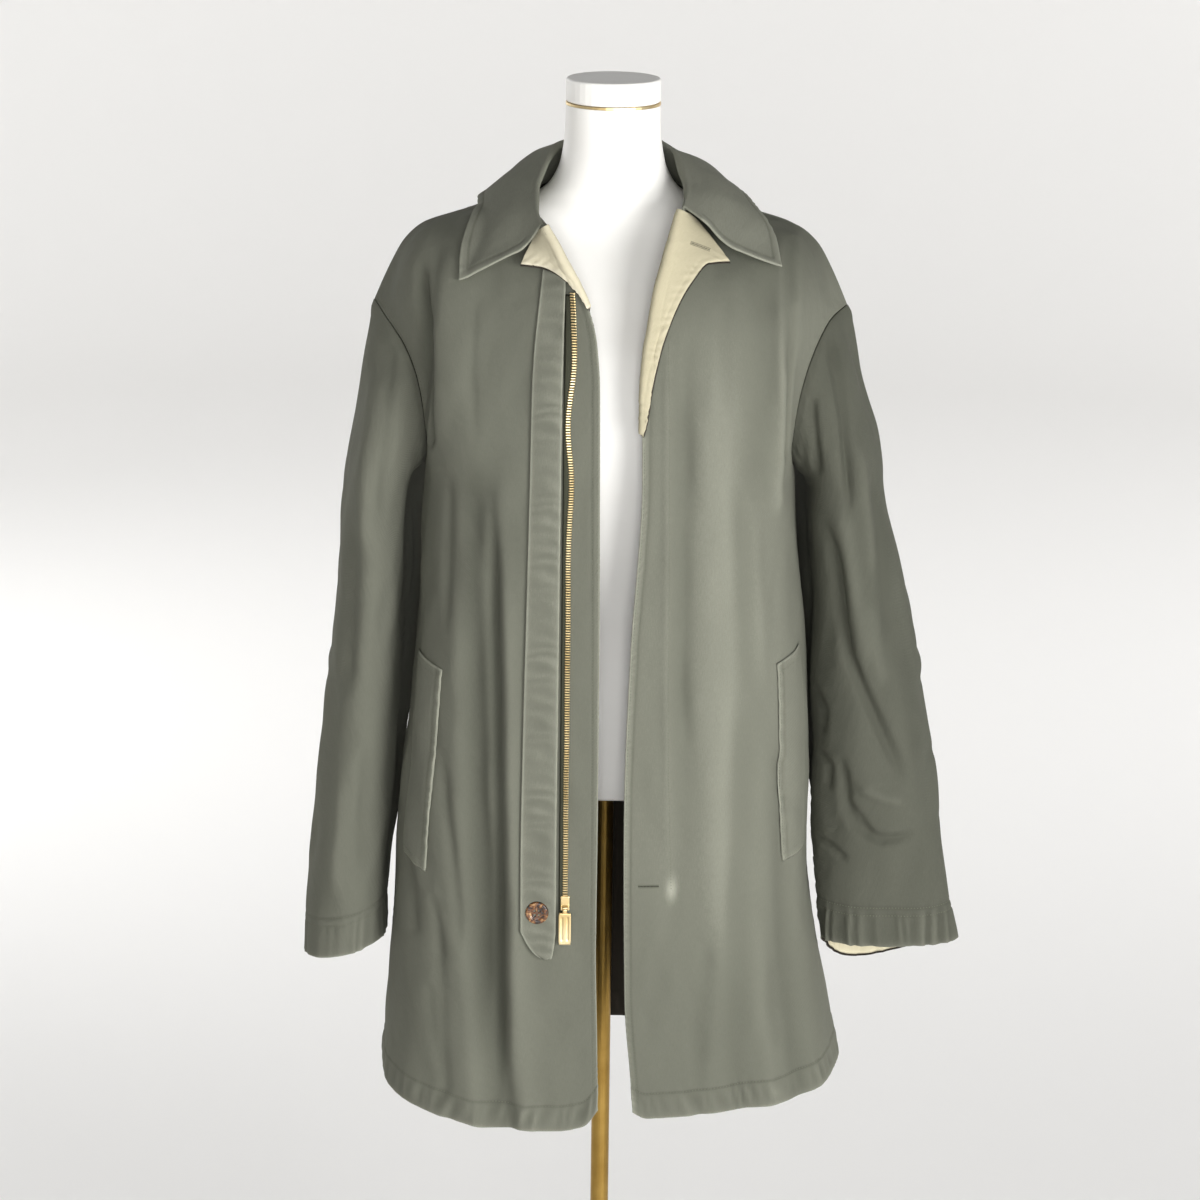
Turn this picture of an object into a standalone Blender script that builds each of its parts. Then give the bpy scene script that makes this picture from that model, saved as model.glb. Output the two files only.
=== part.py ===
"""Zip-front car coat of washed cotton twill, worn open on a limbless dress form that stands on a brass pole.

Metres, +Z up. The origin is the middle of the base's underside, the front faces -Y, and left and right are as
seen from the front. The coat is cut and sewn from walls of cloth: every panel is a grid of points on its outer
face, worked out from the sizes below, and its inner face lies one cloth thickness inside.
"""

import math

import bmesh
import bpy
import numpy as np
from mathutils import Matrix, Vector
from mathutils.bvhtree import BVHTree

# Cloth and seams
CLOTH = 0.0020  # twill and its lining, pressed together
FACING = 0.0012
COLLAR_CLOTH = 0.0026  # two layers and the interlining
SEAM = 0.0003  # space between two pieces at a seam
LAID = 0.0005  # space under a piece that lies on a panel

# Heights
ARMPIT = 1.110

# Grids: how many rows and columns a panel has
SKIRT_ROWS = 13  # hem to armpit
YOKE_ROWS = 10  # armpit to shoulder
NECK_COLUMNS = 4
SHOULDER_COLUMNS = 8
SLEEVE_ROWS = 15
LAPEL_COLUMNS = 3
ROLL_STEPS = 2  # columns round the roll of a lapel

LEFT = -1
RIGHT = 1
HEM_CORNER = {LEFT: 0.024, RIGHT: 0.008}  # radius of the corner at the foot of each front


def table(heading, *rows):
    """A table as a dictionary of columns. The first column runs upwards and the others depend on it."""
    return dict(zip(heading.split(), np.array(rows, float).T))


# Half sections of the body: where the side seam is, and how far the front and back stand out.
BODY = {
    LEFT: table(
        "z      side    front    back   squareness",
        (0.440, 0.2305, -0.148, 0.128, 3.0),
        (0.540, 0.2240, -0.154, 0.136, 3.0),
        (0.620, 0.2185, -0.157, 0.140, 3.0),
        (0.700, 0.2140, -0.159, 0.142, 3.0),
        (0.770, 0.2100, -0.160, 0.143, 3.0),
        (0.850, 0.2010, -0.160, 0.142, 3.0),
        (0.950, 0.1920, -0.158, 0.139, 3.0),
        (1.030, 0.1870, -0.155, 0.136, 3.0),
        (1.110, 0.1850, -0.152, 0.133, 3.0),
    ),
    RIGHT: table(
        "z      side    front    back   squareness",
        (0.440, 0.2560, -0.148, 0.128, 3.0),
        (0.500, 0.2440, -0.152, 0.132, 3.0),
        (0.570, 0.2300, -0.155, 0.137, 3.0),
        (0.640, 0.2170, -0.157, 0.140, 3.0),
        (0.710, 0.2090, -0.159, 0.142, 3.0),
        (0.830, 0.2070, -0.160, 0.142, 3.0),
        (0.950, 0.2000, -0.158, 0.139, 3.0),
        (1.030, 0.1920, -0.155, 0.136, 3.0),
        (1.110, 0.1860, -0.152, 0.133, 3.0),
    ),
}

# Front edge, and above its break the line on which the lapel rolls out.
EDGE = {
    LEFT: table(
        "z       x        y",
        (0.440, -0.0020, -0.148),
        (0.550, -0.0045, -0.155),
        (0.650, -0.0068, -0.158),
        (0.780, -0.0065, -0.160),
        (0.965, -0.0070, -0.158),
        (1.110, -0.0083, -0.152),
        (1.218, -0.0097, -0.143),
        (1.262, -0.0135, -0.137),
        (1.285, -0.0190, -0.132),
        (1.305, -0.0270, -0.127),
        (1.322, -0.0365, -0.122),
        (1.338, -0.0465, -0.117),
        (1.354, -0.0560, -0.111),
        (1.367, -0.0650, -0.105),
    ),
    RIGHT: table(
        "z      x       y",
        (0.440, 0.0340, -0.148),
        (0.500, 0.0300, -0.152),
        (0.590, 0.0225, -0.156),
        (0.800, 0.0193, -0.160),
        (0.965, 0.0239, -0.158),
        (1.050, 0.0296, -0.155),
        (1.110, 0.0325, -0.152),
        (1.169, 0.0320, -0.147),
        (1.209, 0.0328, -0.143),
        (1.249, 0.0358, -0.138),
        (1.279, 0.0402, -0.133),
        (1.309, 0.0450, -0.127),
        (1.331, 0.0505, -0.120),
        (1.358, 0.0584, -0.107),
        (1.382, 0.0665, -0.092),
    ),
}

# Hem of each front against the share of its width from the front edge, and of the back from its middle.
HEM = {
    LEFT: table("share z", (0.0, 0.4450), (0.35, 0.4455), (0.60, 0.4560), (0.80, 0.4700), (1.0, 0.4780)),
    RIGHT: table("share z", (0.0, 0.4590), (0.35, 0.4680), (0.60, 0.4760), (0.80, 0.4840), (1.0, 0.4880)),
}
BACK_HEM = 0.467
BACK_SQUARENESS = 2.5

# Neckline from the end of the collar seam to the shoulder, then on round the back of the neck.
NECK_SHARE = 0.30  # share of a front's width at the armpit that runs up to the neckline
BACK_NECK_SHARE = 0.32
NECK_POINT = (0.0790, 0.0020, 1.3870)  # where neckline and shoulder seam meet
NECK_BACK = (0.0680, 1.3950)  # depth and height of the middle of the back neckline
NECK_SWEEP = 0.45  # how far the front neckline bows outwards, as a share of its width

# Shoulder seam: the form holds it up as far as its tip, and past that the cloth drops.
SHOULDER = table(
    "share  x       y       z",
    (0.00, 0.0790, 0.0020, 1.3870),
    (0.25, 0.1200, 0.0020, 1.3750),
    (0.45, 0.1560, 0.0010, 1.3650),
    (0.64, 0.1880, 0.0000, 1.3540),
    (0.77, 0.2070, 0.0000, 1.3370),
    (0.89, 0.2230, 0.0000, 1.3080),
    (1.00, 0.2370, 0.0000, 1.2760),
)

# Armhole seam from the shoulder down to the underarm, on the front and on the back.
ARMHOLE = {
    LEFT: table(
        "share  x       y        z",
        (0.00, 0.2370, 0.0000, 1.2760),
        (0.15, 0.2230, -0.0290, 1.2620),
        (0.32, 0.2050, -0.0500, 1.2400),
        (0.50, 0.1915, -0.0590, 1.2080),
        (0.66, 0.1850, -0.0600, 1.1740),
        (0.84, 0.1815, -0.0440, 1.1350),
        (1.00, 0.1850, 0.0000, 1.1100),
    ),
    RIGHT: table(
        "share  x       y        z",
        (0.00, 0.2370, 0.0000, 1.2760),
        (0.15, 0.2205, -0.0300, 1.2680),
        (0.32, 0.2060, -0.0560, 1.2480),
        (0.50, 0.1930, -0.0720, 1.2150),
        (0.66, 0.1850, -0.0760, 1.1780),
        (0.84, 0.1815, -0.0530, 1.1330),
        (1.00, 0.1860, 0.0000, 1.1100),
    ),
}
BACK_ARMHOLE = table(
    "share  x       y       z",
    (0.00, 0.2370, 0.0000, 1.2760),
    (0.18, 0.2180, 0.0360, 1.2640),
    (0.36, 0.2020, 0.0620, 1.2400),
    (0.52, 0.1920, 0.0740, 1.2080),
    (0.68, 0.1860, 0.0740, 1.1720),
    (0.85, 0.1830, 0.0500, 1.1330),
    (1.00, 0.1855, 0.0000, 1.1100),
)
YOKE_FULLNESS = 2.25  # how square the cloth turns from chest to shoulder

# Lapels: where each starts, and its free edge against the share of its roll line from there up to the collar.
BREAK = {LEFT: 0.4, RIGHT: 0.2}  # share of the way from the armpit up the edge at which the lapel starts
LAPEL = {
    LEFT: table(
        "share  x        z",
        (0.00, -0.0110, 1.2360),
        (0.30, -0.0185, 1.2790),
        (0.50, -0.0280, 1.2960),
        (0.68, -0.0420, 1.3130),
        (0.85, -0.0640, 1.3250),
        (1.00, -0.0850, 1.3320),
    ),
    RIGHT: table(
        "share  x       z",
        (0.00, 0.0330, 1.1720),
        (0.20, 0.0440, 1.2180),
        (0.40, 0.0535, 1.2600),
        (0.58, 0.0655, 1.2940),
        (0.74, 0.0800, 1.3190),
        (0.86, 0.0950, 1.3330),
        (1.00, 0.1140, 1.3400),
    ),
}
ROLL_RADIUS = 0.0016  # inside the turn of a lapel
FACING_REACH = 2  # columns of a front that its facing covers inside the roll line

# Collar, from its front end to the middle of the back: the fold along its top and the outer edge of its leaf.
COLLAR = {
    LEFT: table(
        "share  fold_x  fold_y   fold_z  leaf_x  leaf_y   leaf_z",
        (0.00, 0.0660, -0.1030, 1.3720, 0.1480, -0.0980, 1.3130),
        (0.10, 0.0705, -0.0860, 1.3830, 0.1475, -0.0740, 1.3330),
        (0.25, 0.0715, -0.0560, 1.3980, 0.1390, -0.0360, 1.3650),
        (0.42, 0.0650, -0.0200, 1.4140, 0.1345, 0.0020, 1.3800),
        (0.62, 0.0530, 0.0190, 1.4300, 0.1200, 0.0560, 1.3770),
        (0.80, 0.0350, 0.0510, 1.4320, 0.0730, 0.0970, 1.3690),
        (1.00, 0.0000, 0.0680, 1.4310, 0.0000, 0.1130, 1.3640),
    ),
    RIGHT: table(
        "share  fold_x  fold_y   fold_z  leaf_x  leaf_y   leaf_z",
        (0.00, 0.0680, -0.0900, 1.3880, 0.1670, -0.0920, 1.3310),
        (0.10, 0.0700, -0.0720, 1.3960, 0.1620, -0.0620, 1.3540),
        (0.25, 0.0690, -0.0450, 1.4060, 0.1440, -0.0280, 1.3780),
        (0.42, 0.0640, -0.0130, 1.4190, 0.1320, 0.0060, 1.3860),
        (0.62, 0.0530, 0.0200, 1.4310, 0.1170, 0.0560, 1.3790),
        (0.80, 0.0350, 0.0510, 1.4320, 0.0730, 0.0970, 1.3690),
        (1.00, 0.0000, 0.0680, 1.4310, 0.0000, 0.1130, 1.3640),
    ),
}
COLLAR_ROWS = 11  # from each front end to the middle of the back
LEAF_COLUMNS = 4  # from the fold out to the edge of the leaf
COLLAR_TURN = 0.0042  # radius of the fold on its outer face
COLLAR_LIFT = 0.0007  # the stand starts this far above the neckline and inside it
COLLAR_INSET = 0.0005
COLLAR_BOW = 0.006  # how far the leaf swells between fold and edge

# Sleeves: sections down the arm, leaning by tilt from the level. The left one hangs edge-on, the right one flat,
# and the back of each swings in behind the body.
SLEEVE = {
    LEFT: table(
        "run    x       y        z       wide    deep    tilt  swing",
        (0.00, 0.2110, 0.0000, 1.1930, 0.0870, 0.0720, 72.0, 0.000),
        (0.08, 0.2219, 0.0000, 1.1565, 0.0558, 0.0830, 60.6, 0.010),
        (0.16, 0.2305, -0.0010, 1.1170, 0.0370, 0.0870, 38.4, 0.028),
        (0.24, 0.2365, -0.0030, 1.0675, 0.0334, 0.0870, 13.0, 0.047),
        (0.38, 0.2405, -0.0060, 0.9800, 0.0340, 0.0800, 5.0, 0.050),
        (0.53, 0.2474, -0.0100, 0.8800, 0.0364, 0.0710, 4.0, 0.044),
        (0.68, 0.2555, -0.0150, 0.7830, 0.0380, 0.0640, 2.0, 0.038),
        (0.84, 0.2630, -0.0210, 0.6890, 0.0393, 0.0590, -3.0, 0.034),
        (1.00, 0.2662, -0.0260, 0.6070, 0.0435, 0.0560, -13.0, 0.022),
    ),
    RIGHT: table(
        "run    x       y        z       wide    deep    tilt  swing",
        (0.00, 0.2115, 0.0000, 1.1930, 0.0870, 0.0740, 72.0, 0.000),
        (0.08, 0.2255, -0.0030, 1.1585, 0.0598, 0.0820, 59.3, 0.008),
        (0.16, 0.2348, -0.0080, 1.1220, 0.0439, 0.0820, 39.6, 0.026),
        (0.24, 0.2413, -0.0120, 1.0725, 0.0417, 0.0790, 17.5, 0.045),
        (0.38, 0.2555, -0.0160, 0.9850, 0.0486, 0.0720, 8.0, 0.050),
        (0.53, 0.2675, -0.0180, 0.8850, 0.0566, 0.0660, 4.0, 0.048),
        (0.68, 0.2765, -0.0220, 0.7870, 0.0638, 0.0580, 2.0, 0.048),
        (0.84, 0.2852, -0.0340, 0.7000, 0.0683, 0.0420, 1.0, 0.020),
        (1.00, 0.2955, -0.0440, 0.6220, 0.0690, 0.0300, 0.0, 0.000),
    ),
}
CROWN = 0.20  # share of the run over which the armhole's own outline dies away
CUFF_ROWS = 2  # rows of a sleeve that the strip inside its cuff covers

# Largest folds: a soft trough (depth below 0 is a ridge) down a panel, by its distance from the front edge or
# from the middle of the back at its top and foot.
FOLDS = {
    ("front", LEFT): table(
        "from_top from_foot z_top  z_foot  width   depth",
        (0.1930, 0.1900, 1.330, 1.160, 0.0090, 0.0100),
        (0.1250, 0.1100, 1.000, 0.440, 0.0150, 0.0045),
        (0.1500, 0.1350, 1.050, 0.440, 0.0130, -0.0040),
        (0.0850, 0.0820, 0.760, 0.440, 0.0140, -0.0035),
    ),
    ("front", RIGHT): table(
        "from_top from_foot z_top  z_foot  width   depth",
        (0.1420, 0.1500, 1.310, 1.100, 0.0090, -0.0040),
        (0.1650, 0.1650, 1.330, 1.150, 0.0090, 0.0050),
        (0.1180, 0.1130, 0.950, 0.440, 0.0150, 0.0040),
        (0.1720, 0.1820, 0.900, 0.440, 0.0150, 0.0050),
    ),
    ("back", LEFT): table(
        "from_top from_foot z_top  z_foot  width   depth",
        (0.1500, 0.1650, 1.200, 0.440, 0.0180, 0.0070),
        (0.0700, 0.0850, 1.000, 0.440, 0.0180, 0.0060),
    ),
    ("back", RIGHT): table(
        "from_top from_foot z_top  z_foot  width   depth",
        (0.1400, 0.1500, 1.220, 0.440, 0.0170, 0.0080),
        (0.0500, 0.0700, 0.900, 0.440, 0.0190, 0.0060),
    ),
}

# Fly strip, zip and button on the left front: places (x, z) as seen from the front
FLY = table(
    "z       outer   inner",
    (0.6650, -0.0832, -0.0472),
    (0.7400, -0.0837, -0.0474),
    (0.8700, -0.0820, -0.0472),
    (1.0900, -0.0778, -0.0466),
    (1.2080, -0.0760, -0.0462),
    (1.2480, -0.0745, -0.0455),
    (1.3200, -0.0680, -0.0440),
)
FLY_THICK = 0.0014
FLY_ROWS = 18
FLY_SPANS = 4
TAB_TIP = (-0.0555, 0.6365)
TAB_TIP_HALF = 0.0035
TAPE = (-0.0446, -0.0362)
TAPE_FOOT = 0.6840
TAPE_THICK = 0.0006
TEETH = (-0.0406, -0.0360)
TEETH_FOOT = 0.7035
ZIP_TOP = 1.3000
TEETH_THICK = 0.0013
ZIP_ROWS = 16
SLIDER_AT = (-0.0383, 0.6950)
SLIDER_SIZE = (0.0090, 0.0028, 0.0150)
LUG_SIZE = (0.0010, 0.0044, 0.0034)
LUG_SPREAD = 0.0066
PIN_RADIUS = 0.0007
PIN_DROP = 0.0040  # below the slider's middle
PIN_OUT = 0.0022  # in front of the slider's face
BARREL_RADIUS = 0.0018
BARREL_BORE = 0.0010
BARREL_LENGTH = 0.0050
PULL_SIZE = (0.0128, 0.0018, 0.0340)
PULL_NECK = 0.0050
BUTTON_AT = (-0.0663, 0.6850)
BUTTON_RADIUS = 0.0118
BUTTON_THICK = 0.0034
BUTTON_HOLE_RADIUS = 0.0012
BUTTON_HOLE_SPREAD = 0.0021

# Welt pockets: where the edge nearest the front runs, seen from the front, and how wide the welt lies round the body
WELT = {
    LEFT: table("z  x  width", (0.7120, -0.1790, 0.046), (0.7900, -0.1725, 0.050), (0.9240, -0.1625, 0.052)),
    RIGHT: table("z  x  width", (0.7240, 0.1830, 0.046), (0.8100, 0.1780, 0.050), (0.9360, 0.1680, 0.052)),
}
WELT_SLANT = 0.010  # the side end of a welt stands this much higher
WELT_THICK = 0.0018
WELT_ROWS = 8
WELT_COLUMNS = 4

# Form: level sections up the torso and neck
FORM = table(
    "z       wide    deep    y        squareness",
    (0.7800, 0.1420, 0.0860, -0.0040, 2.3),
    (0.7840, 0.1480, 0.0920, -0.0040, 2.3),
    (0.8200, 0.1560, 0.1000, -0.0040, 2.3),
    (0.8800, 0.1500, 0.0980, -0.0050, 2.2),
    (0.9600, 0.1360, 0.0900, -0.0060, 2.2),
    (1.0600, 0.1470, 0.1000, -0.0060, 2.2),
    (1.1500, 0.1600, 0.1080, -0.0050, 2.3),
    (1.2300, 0.1680, 0.1040, 0.0000, 2.3),
    (1.2900, 0.1760, 0.0890, 0.0060, 2.2),
    (1.3250, 0.1800, 0.0720, 0.0070, 2.1),
    (1.3440, 0.1730, 0.0600, 0.0060, 2.0),
    (1.3550, 0.1600, 0.0540, 0.0050, 2.0),
    (1.3650, 0.1390, 0.0500, 0.0040, 2.0),
    (1.3737, 0.1085, 0.0490, 0.0050, 2.0),
    (1.3828, 0.0790, 0.0480, 0.0050, 2.0),
    (1.3980, 0.0610, 0.0490, 0.0020, 2.0),
    (1.4200, 0.0515, 0.0490, 0.0000, 2.0),
    (1.4500, 0.0475, 0.0470, 0.0000, 2.0),
    (1.4740, 0.0470, 0.0470, 0.0000, 2.0),
)
FORM_SIDES = 28
RING_THICK = 0.0024
CAP_HEIGHT = 0.0235
POLE_RADIUS = 0.0094
BASE_RADIUS = 0.170
BASE_THICK = 0.014
BASE_EDGE = 0.003

TWILL = (0.148, 0.152, 0.127, 1.0)
TAN_TWILL = (0.610, 0.560, 0.430, 1.0)
DARK_TAPE = (0.165, 0.160, 0.125, 1.0)
BRASS = (0.620, 0.430, 0.180, 1.0)
TORTOISESHELL = (0.210, 0.110, 0.055, 1.0)
PLASTER_WHITE = (0.860, 0.850, 0.820, 1.0)


def finish(name, colour, roughness, metallic=0.0):
    """A plain material of one colour."""
    material = bpy.data.materials.new(name)
    material.use_nodes = True
    shader = material.node_tree.nodes["Principled BSDF"]
    shader.inputs["Base Color"].default_value = colour
    shader.inputs["Roughness"].default_value = roughness
    shader.inputs["Metallic"].default_value = metallic
    return material


def column(rows, name, at):
    """One column of a table at any places, as a smooth curve that never overshoots its rows."""
    keys, values = rows[next(iter(rows))], rows[name]
    steps = np.diff(keys)
    slopes = np.diff(values) / steps
    same_way = slopes[1:] * slopes[:-1] > 0
    total = np.where(same_way, slopes[1:] + slopes[:-1], 1.0)
    inner = np.where(same_way, 2 * slopes[1:] * slopes[:-1] / total, 0.0)
    tangents = np.concatenate([slopes[:1], inner, slopes[-1:]])
    at = np.clip(np.asarray(at, float), keys[0], keys[-1])
    i = np.clip(np.searchsorted(keys, at, side="right") - 1, 0, len(steps) - 1)
    t = (at - keys[i]) / steps[i]
    start = values[i] * (1 + 2 * t) * (1 - t) ** 2 + tangents[i] * steps[i] * t * (1 - t) ** 2
    return start + values[i + 1] * t * t * (3 - 2 * t) - tangents[i + 1] * steps[i] * t * t * (1 - t)


def columns(rows, names, at):
    return np.stack([column(rows, name, at) for name in names.split()], axis=-1)


def smoothstep(t):
    t = np.clip(t, 0.0, 1.0)
    return t * t * (3 - 2 * t)


def unit(vectors):
    return vectors / np.maximum(np.linalg.norm(vectors, axis=-1, keepdims=True), 1e-12)


def spread(path, shares):
    """Points at the given shares of a dense path's length."""
    steps = np.linalg.norm(np.diff(path, axis=0), axis=1)
    run = np.concatenate([[0.0], np.cumsum(steps)])
    return np.stack([np.interp(shares * run[-1], run, path[:, k]) for k in range(path.shape[1])], axis=-1)


def quarter_section(edge, side, squareness, shares):
    """From the edge point, where the cloth runs sideways, round to the side point, where it runs front to back."""
    turn = np.linspace(0, math.pi / 2, 181)
    x = edge[0] + (side[0] - edge[0]) * np.sin(turn) ** (2 / squareness)
    y = side[1] + (edge[1] - side[1]) * np.cos(turn) ** (2 / squareness)
    return spread(np.stack([x, y], axis=-1), shares)


def body_section(side, half, z, shares):
    """Points (x, y) across half the body at height z, on its front or its back."""
    body = BODY[side]
    if half == "front":
        start = (float(column(EDGE[side], "x", z)), float(column(EDGE[side], "y", z)))
    else:
        start = (0.0, float(column(body, "back", z)))
    end = (side * float(column(body, "side", z)), 0.0)
    squareness = float(column(body, "squareness", z)) if half == "front" else BACK_SQUARENESS
    return quarter_section(start, end, squareness, shares)


def hem_height(side, half, shares, width):
    """The hem across a panel, rounded up at the corner of a front."""
    if half == "back":
        return BACK_HEM + (column(HEM[side], "z", 1.0) - BACK_HEM) * smoothstep(shares) ** 2
    corner = HEM_CORNER[side]
    from_corner = np.clip(corner - shares * width, 0.0, corner)
    return column(HEM[side], "z", shares) + corner - np.sqrt(corner**2 - from_corner**2)


def front_neckline(side, shares):
    """From the collar's front end, on the roll line, back and up to the neck point."""
    start = columns(EDGE[side], "x y z", EDGE[side]["z"][-1])
    end = np.array(NECK_POINT) * (side, 1, 1)
    path = start + (end - start) * shares[:, None]
    bow = NECK_SWEEP * abs(end[0] - start[0]) * np.sin(math.pi * shares)
    return path + np.outer(bow, (side, 0, -0.4))


def back_neckline(side, shares):
    """From the middle of the back round to the neck point."""
    turn = shares * math.pi / 2
    x, y, z = NECK_POINT
    depth, height = NECK_BACK
    across = side * x * np.sin(turn)
    return np.stack([across, y + (depth - y) * np.cos(turn), z + (height - z) * np.cos(turn) ** 2], axis=-1)


def panel_shares(neck_share, neck_columns=NECK_COLUMNS, shoulder_columns=SHOULDER_COLUMNS):
    """Columns of a panel as shares of its width, with one on the neck point."""
    to_neck = np.linspace(0, neck_share, neck_columns + 1)
    return np.concatenate([to_neck, np.linspace(neck_share, 1, shoulder_columns + 1)[1:]])


def top_line(side, half, shares, neck_share):
    """The upper end of every column, on the neckline and then on the shoulder seam."""
    neckline = front_neckline if half == "front" else back_neckline
    at_neck = neckline(side, np.clip(shares / neck_share, 0, 1))
    seam = columns(SHOULDER, "x y z", (shares - neck_share) / (1 - neck_share)) * (side, 1, 1)
    return np.where((shares <= neck_share)[:, None], at_neck, seam)


def armhole(side, half, shares):
    """The armhole seam from the underarm up to the shoulder, on the front or the back."""
    rows = ARMHOLE[side] if half == "front" else BACK_ARMHOLE
    dense = columns(rows, "x y z", np.linspace(1, 0, 241)) * (side, 1, 1)
    dense[0, 0] = side * float(column(BODY[side], "side", ARMPIT))
    return spread(dense, shares)


def skirt_grid(side, half, shares, rows=SKIRT_ROWS):
    """The panel from its hem up to the armpit."""
    width = np.ptp(body_section(side, half, ARMPIT, np.array([0.0, 1.0]))[:, 0])
    hem = hem_height(side, half, shares, width)
    grid = np.empty((rows + 1, len(shares), 3))
    for i, up in enumerate(np.linspace(0, 1, rows + 1)):
        for j, z in enumerate(hem + (ARMPIT - hem) * up):
            grid[i, j] = (*body_section(side, half, z, shares[j : j + 1])[0], z)
    return grid


def yoke_grid(side, half, shares, neck_share, ups):
    """The panel from the armpit up to the neckline and the shoulder seam, its ends on the edge and the armhole."""
    foot = np.column_stack([body_section(side, half, ARMPIT, shares), np.full(len(shares), ARMPIT)])
    top = top_line(side, half, shares, neck_share)
    turn = np.linspace(0, math.pi / 2, 181)[:, None]
    rise = np.sin(turn) ** (2 / YOKE_FULLNESS)
    over = 1 - np.cos(turn) ** (2 / YOKE_FULLNESS)
    grid = np.empty((len(ups), len(shares), 3))
    for j in range(len(shares)):
        reach = np.hstack([over, over, rise])
        grid[:, j] = spread(foot[j] + (top[j] - foot[j]) * reach, ups)
    if half == "front":
        heights = np.linspace(ARMPIT, EDGE[side]["z"][-1], 241)
        edge = spread(columns(EDGE[side], "x y z", heights), ups)
        fade = 1 - smoothstep(shares / 0.55)
        grid += (edge - grid[:, 0])[:, None] * fade[None, :, None]
    seam = armhole(side, half, ups)
    fade = smoothstep((shares - 0.35) / 0.65)
    return grid + (seam - grid[:, -1])[:, None] * fade[None, :, None]


def lapel_grid(side, roll, surface):
    """Columns past the roll line: round the roll, then over the front, out to the lapel's free edge."""
    steps = np.linalg.norm(np.diff(roll, axis=0), axis=1)
    run = np.concatenate([[0.0], np.cumsum(steps)])
    starts = SKIRT_ROWS + round(BREAK[side] * YOKE_ROWS)
    share = np.clip((run - run[starts]) / (run[-1] - run[starts]), 0, 1)
    free = columns(LAPEL[side], "x z", share)
    out = np.repeat(roll[:, None], LAPEL_COLUMNS + ROLL_STEPS, axis=1)
    for i in np.nonzero(share > 0)[0]:
        opening = smoothstep(share[i] / 0.12)
        away = np.array([free[i, 0] - roll[i, 0], 0.0, free[i, 1] - roll[i, 2]])
        across = away / max(np.linalg.norm(away), 1e-9)
        outward = surface.normal(free[i, 0], free[i, 1])
        for k in range(ROLL_STEPS):
            angle = math.pi * (k + 1) / (ROLL_STEPS + 1)
            turned = (1 - math.cos(angle)) * outward - math.sin(angle) * across
            out[i, k] = roll[i] + opening * ROLL_RADIUS * turned
        for k in range(LAPEL_COLUMNS):
            reach = k / (LAPEL_COLUMNS - 1)
            x, z = (roll[i, [0, 2]] + (free[i] - roll[i, [0, 2]]) * reach).tolist()
            lift = opening * 2 * ROLL_RADIUS
            base = surface.point(x, z) if reach else roll[i]
            out[i, ROLL_STEPS + k] = base + lift * outward
    return out[:, ::-1], starts


def two_triangles(points, a, b, c, d):
    """A four-cornered face as two triangles, split along its shorter diagonal."""
    if np.linalg.norm(points[a] - points[c]) <= np.linalg.norm(points[b] - points[d]):
        return [(a, b, c), (a, c, d)]
    return [(a, b, d), (b, c, d)]


class Surface:
    """Some grids as one surface of triangles, to lay other pieces on."""

    def __init__(self, *grids):
        self.points = np.concatenate([grid.reshape(-1, 3) for grid in grids])
        self.faces = []
        first = 0
        for grid in grids:
            rows, width = grid.shape[:2]
            for i in range(rows - 1):
                for a in range(first + i * width, first + (i + 1) * width - 1):
                    self.faces += two_triangles(self.points, a, a + 1, a + width + 1, a + width)
            first += rows * width
        self.tree = BVHTree.FromPolygons([Vector(p) for p in self.points], self.faces)

    def samples(self):
        """Its corners and places along its edges."""
        corners = self.points[np.array(self.faces)]
        ends = np.concatenate([corners[:, [0, 1]], corners[:, [1, 2]], corners[:, [2, 0]]])
        between = [ends[:, 0] + (ends[:, 1] - ends[:, 0]) * share for share in (0.25, 0.5, 0.75)]
        return np.unique(np.round(np.concatenate([self.points, *between]), 7), axis=0)

    def seen_from_front(self, x, z):
        where, normal, _, _ = self.tree.ray_cast(Vector((x, -1.0, z)), Vector((0, 1, 0)))
        return np.array(where), np.array(normal) * (-1 if normal.y > 0 else 1)

    def point(self, x, z):
        return self.seen_from_front(x, z)[0]

    def normal(self, x, z):
        return self.seen_from_front(x, z)[1]

    def beside(self, point):
        """The nearest place on the surface."""
        return np.array(self.tree.find_nearest(Vector(point))[0])

    def height(self, point, outwards):
        """How far a point stands off the surface, measured outwards. None where nothing lies under it."""
        away = Vector(outwards)
        hit = self.tree.ray_cast(Vector(point) + 0.03 * away, -away, 0.06)
        return None if hit[0] is None else (Vector(point) - hit[0]).dot(away)


def to_front(point):
    return np.array([0.0, -1.0, 0.0])


def off_body(point):
    return unit(np.array([point[0], point[1], 0.0]))


def off_shoulders(point):
    return unit(off_body(point) + (0, 0, 1.2))


def settled(grid, surface, gap, outwards):
    """The grid moved outwards until it stands clear of the surface by the gap everywhere."""
    out = grid.copy()
    below = surface.samples()
    for _ in range(4):
        sheet = Surface(out)
        lift = np.zeros(len(sheet.points))
        for i, point in enumerate(sheet.points):
            height = surface.height(point, outwards(point))
            if height is not None:
                lift[i] = max(0.0, gap - height)
        for place in below:
            away = Vector(outwards(place))
            hit, _, face, _ = sheet.tree.ray_cast(Vector(place) - 0.012 * away, away, 0.02)
            if hit is not None:
                short = gap - (hit - Vector(place)).dot(away)
                corners = list(sheet.faces[face])
                lift[corners] = np.maximum(lift[corners], short)
        for point, rise in zip(out.reshape(-1, 3), lift):
            point += rise * outwards(point)
    return out


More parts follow.
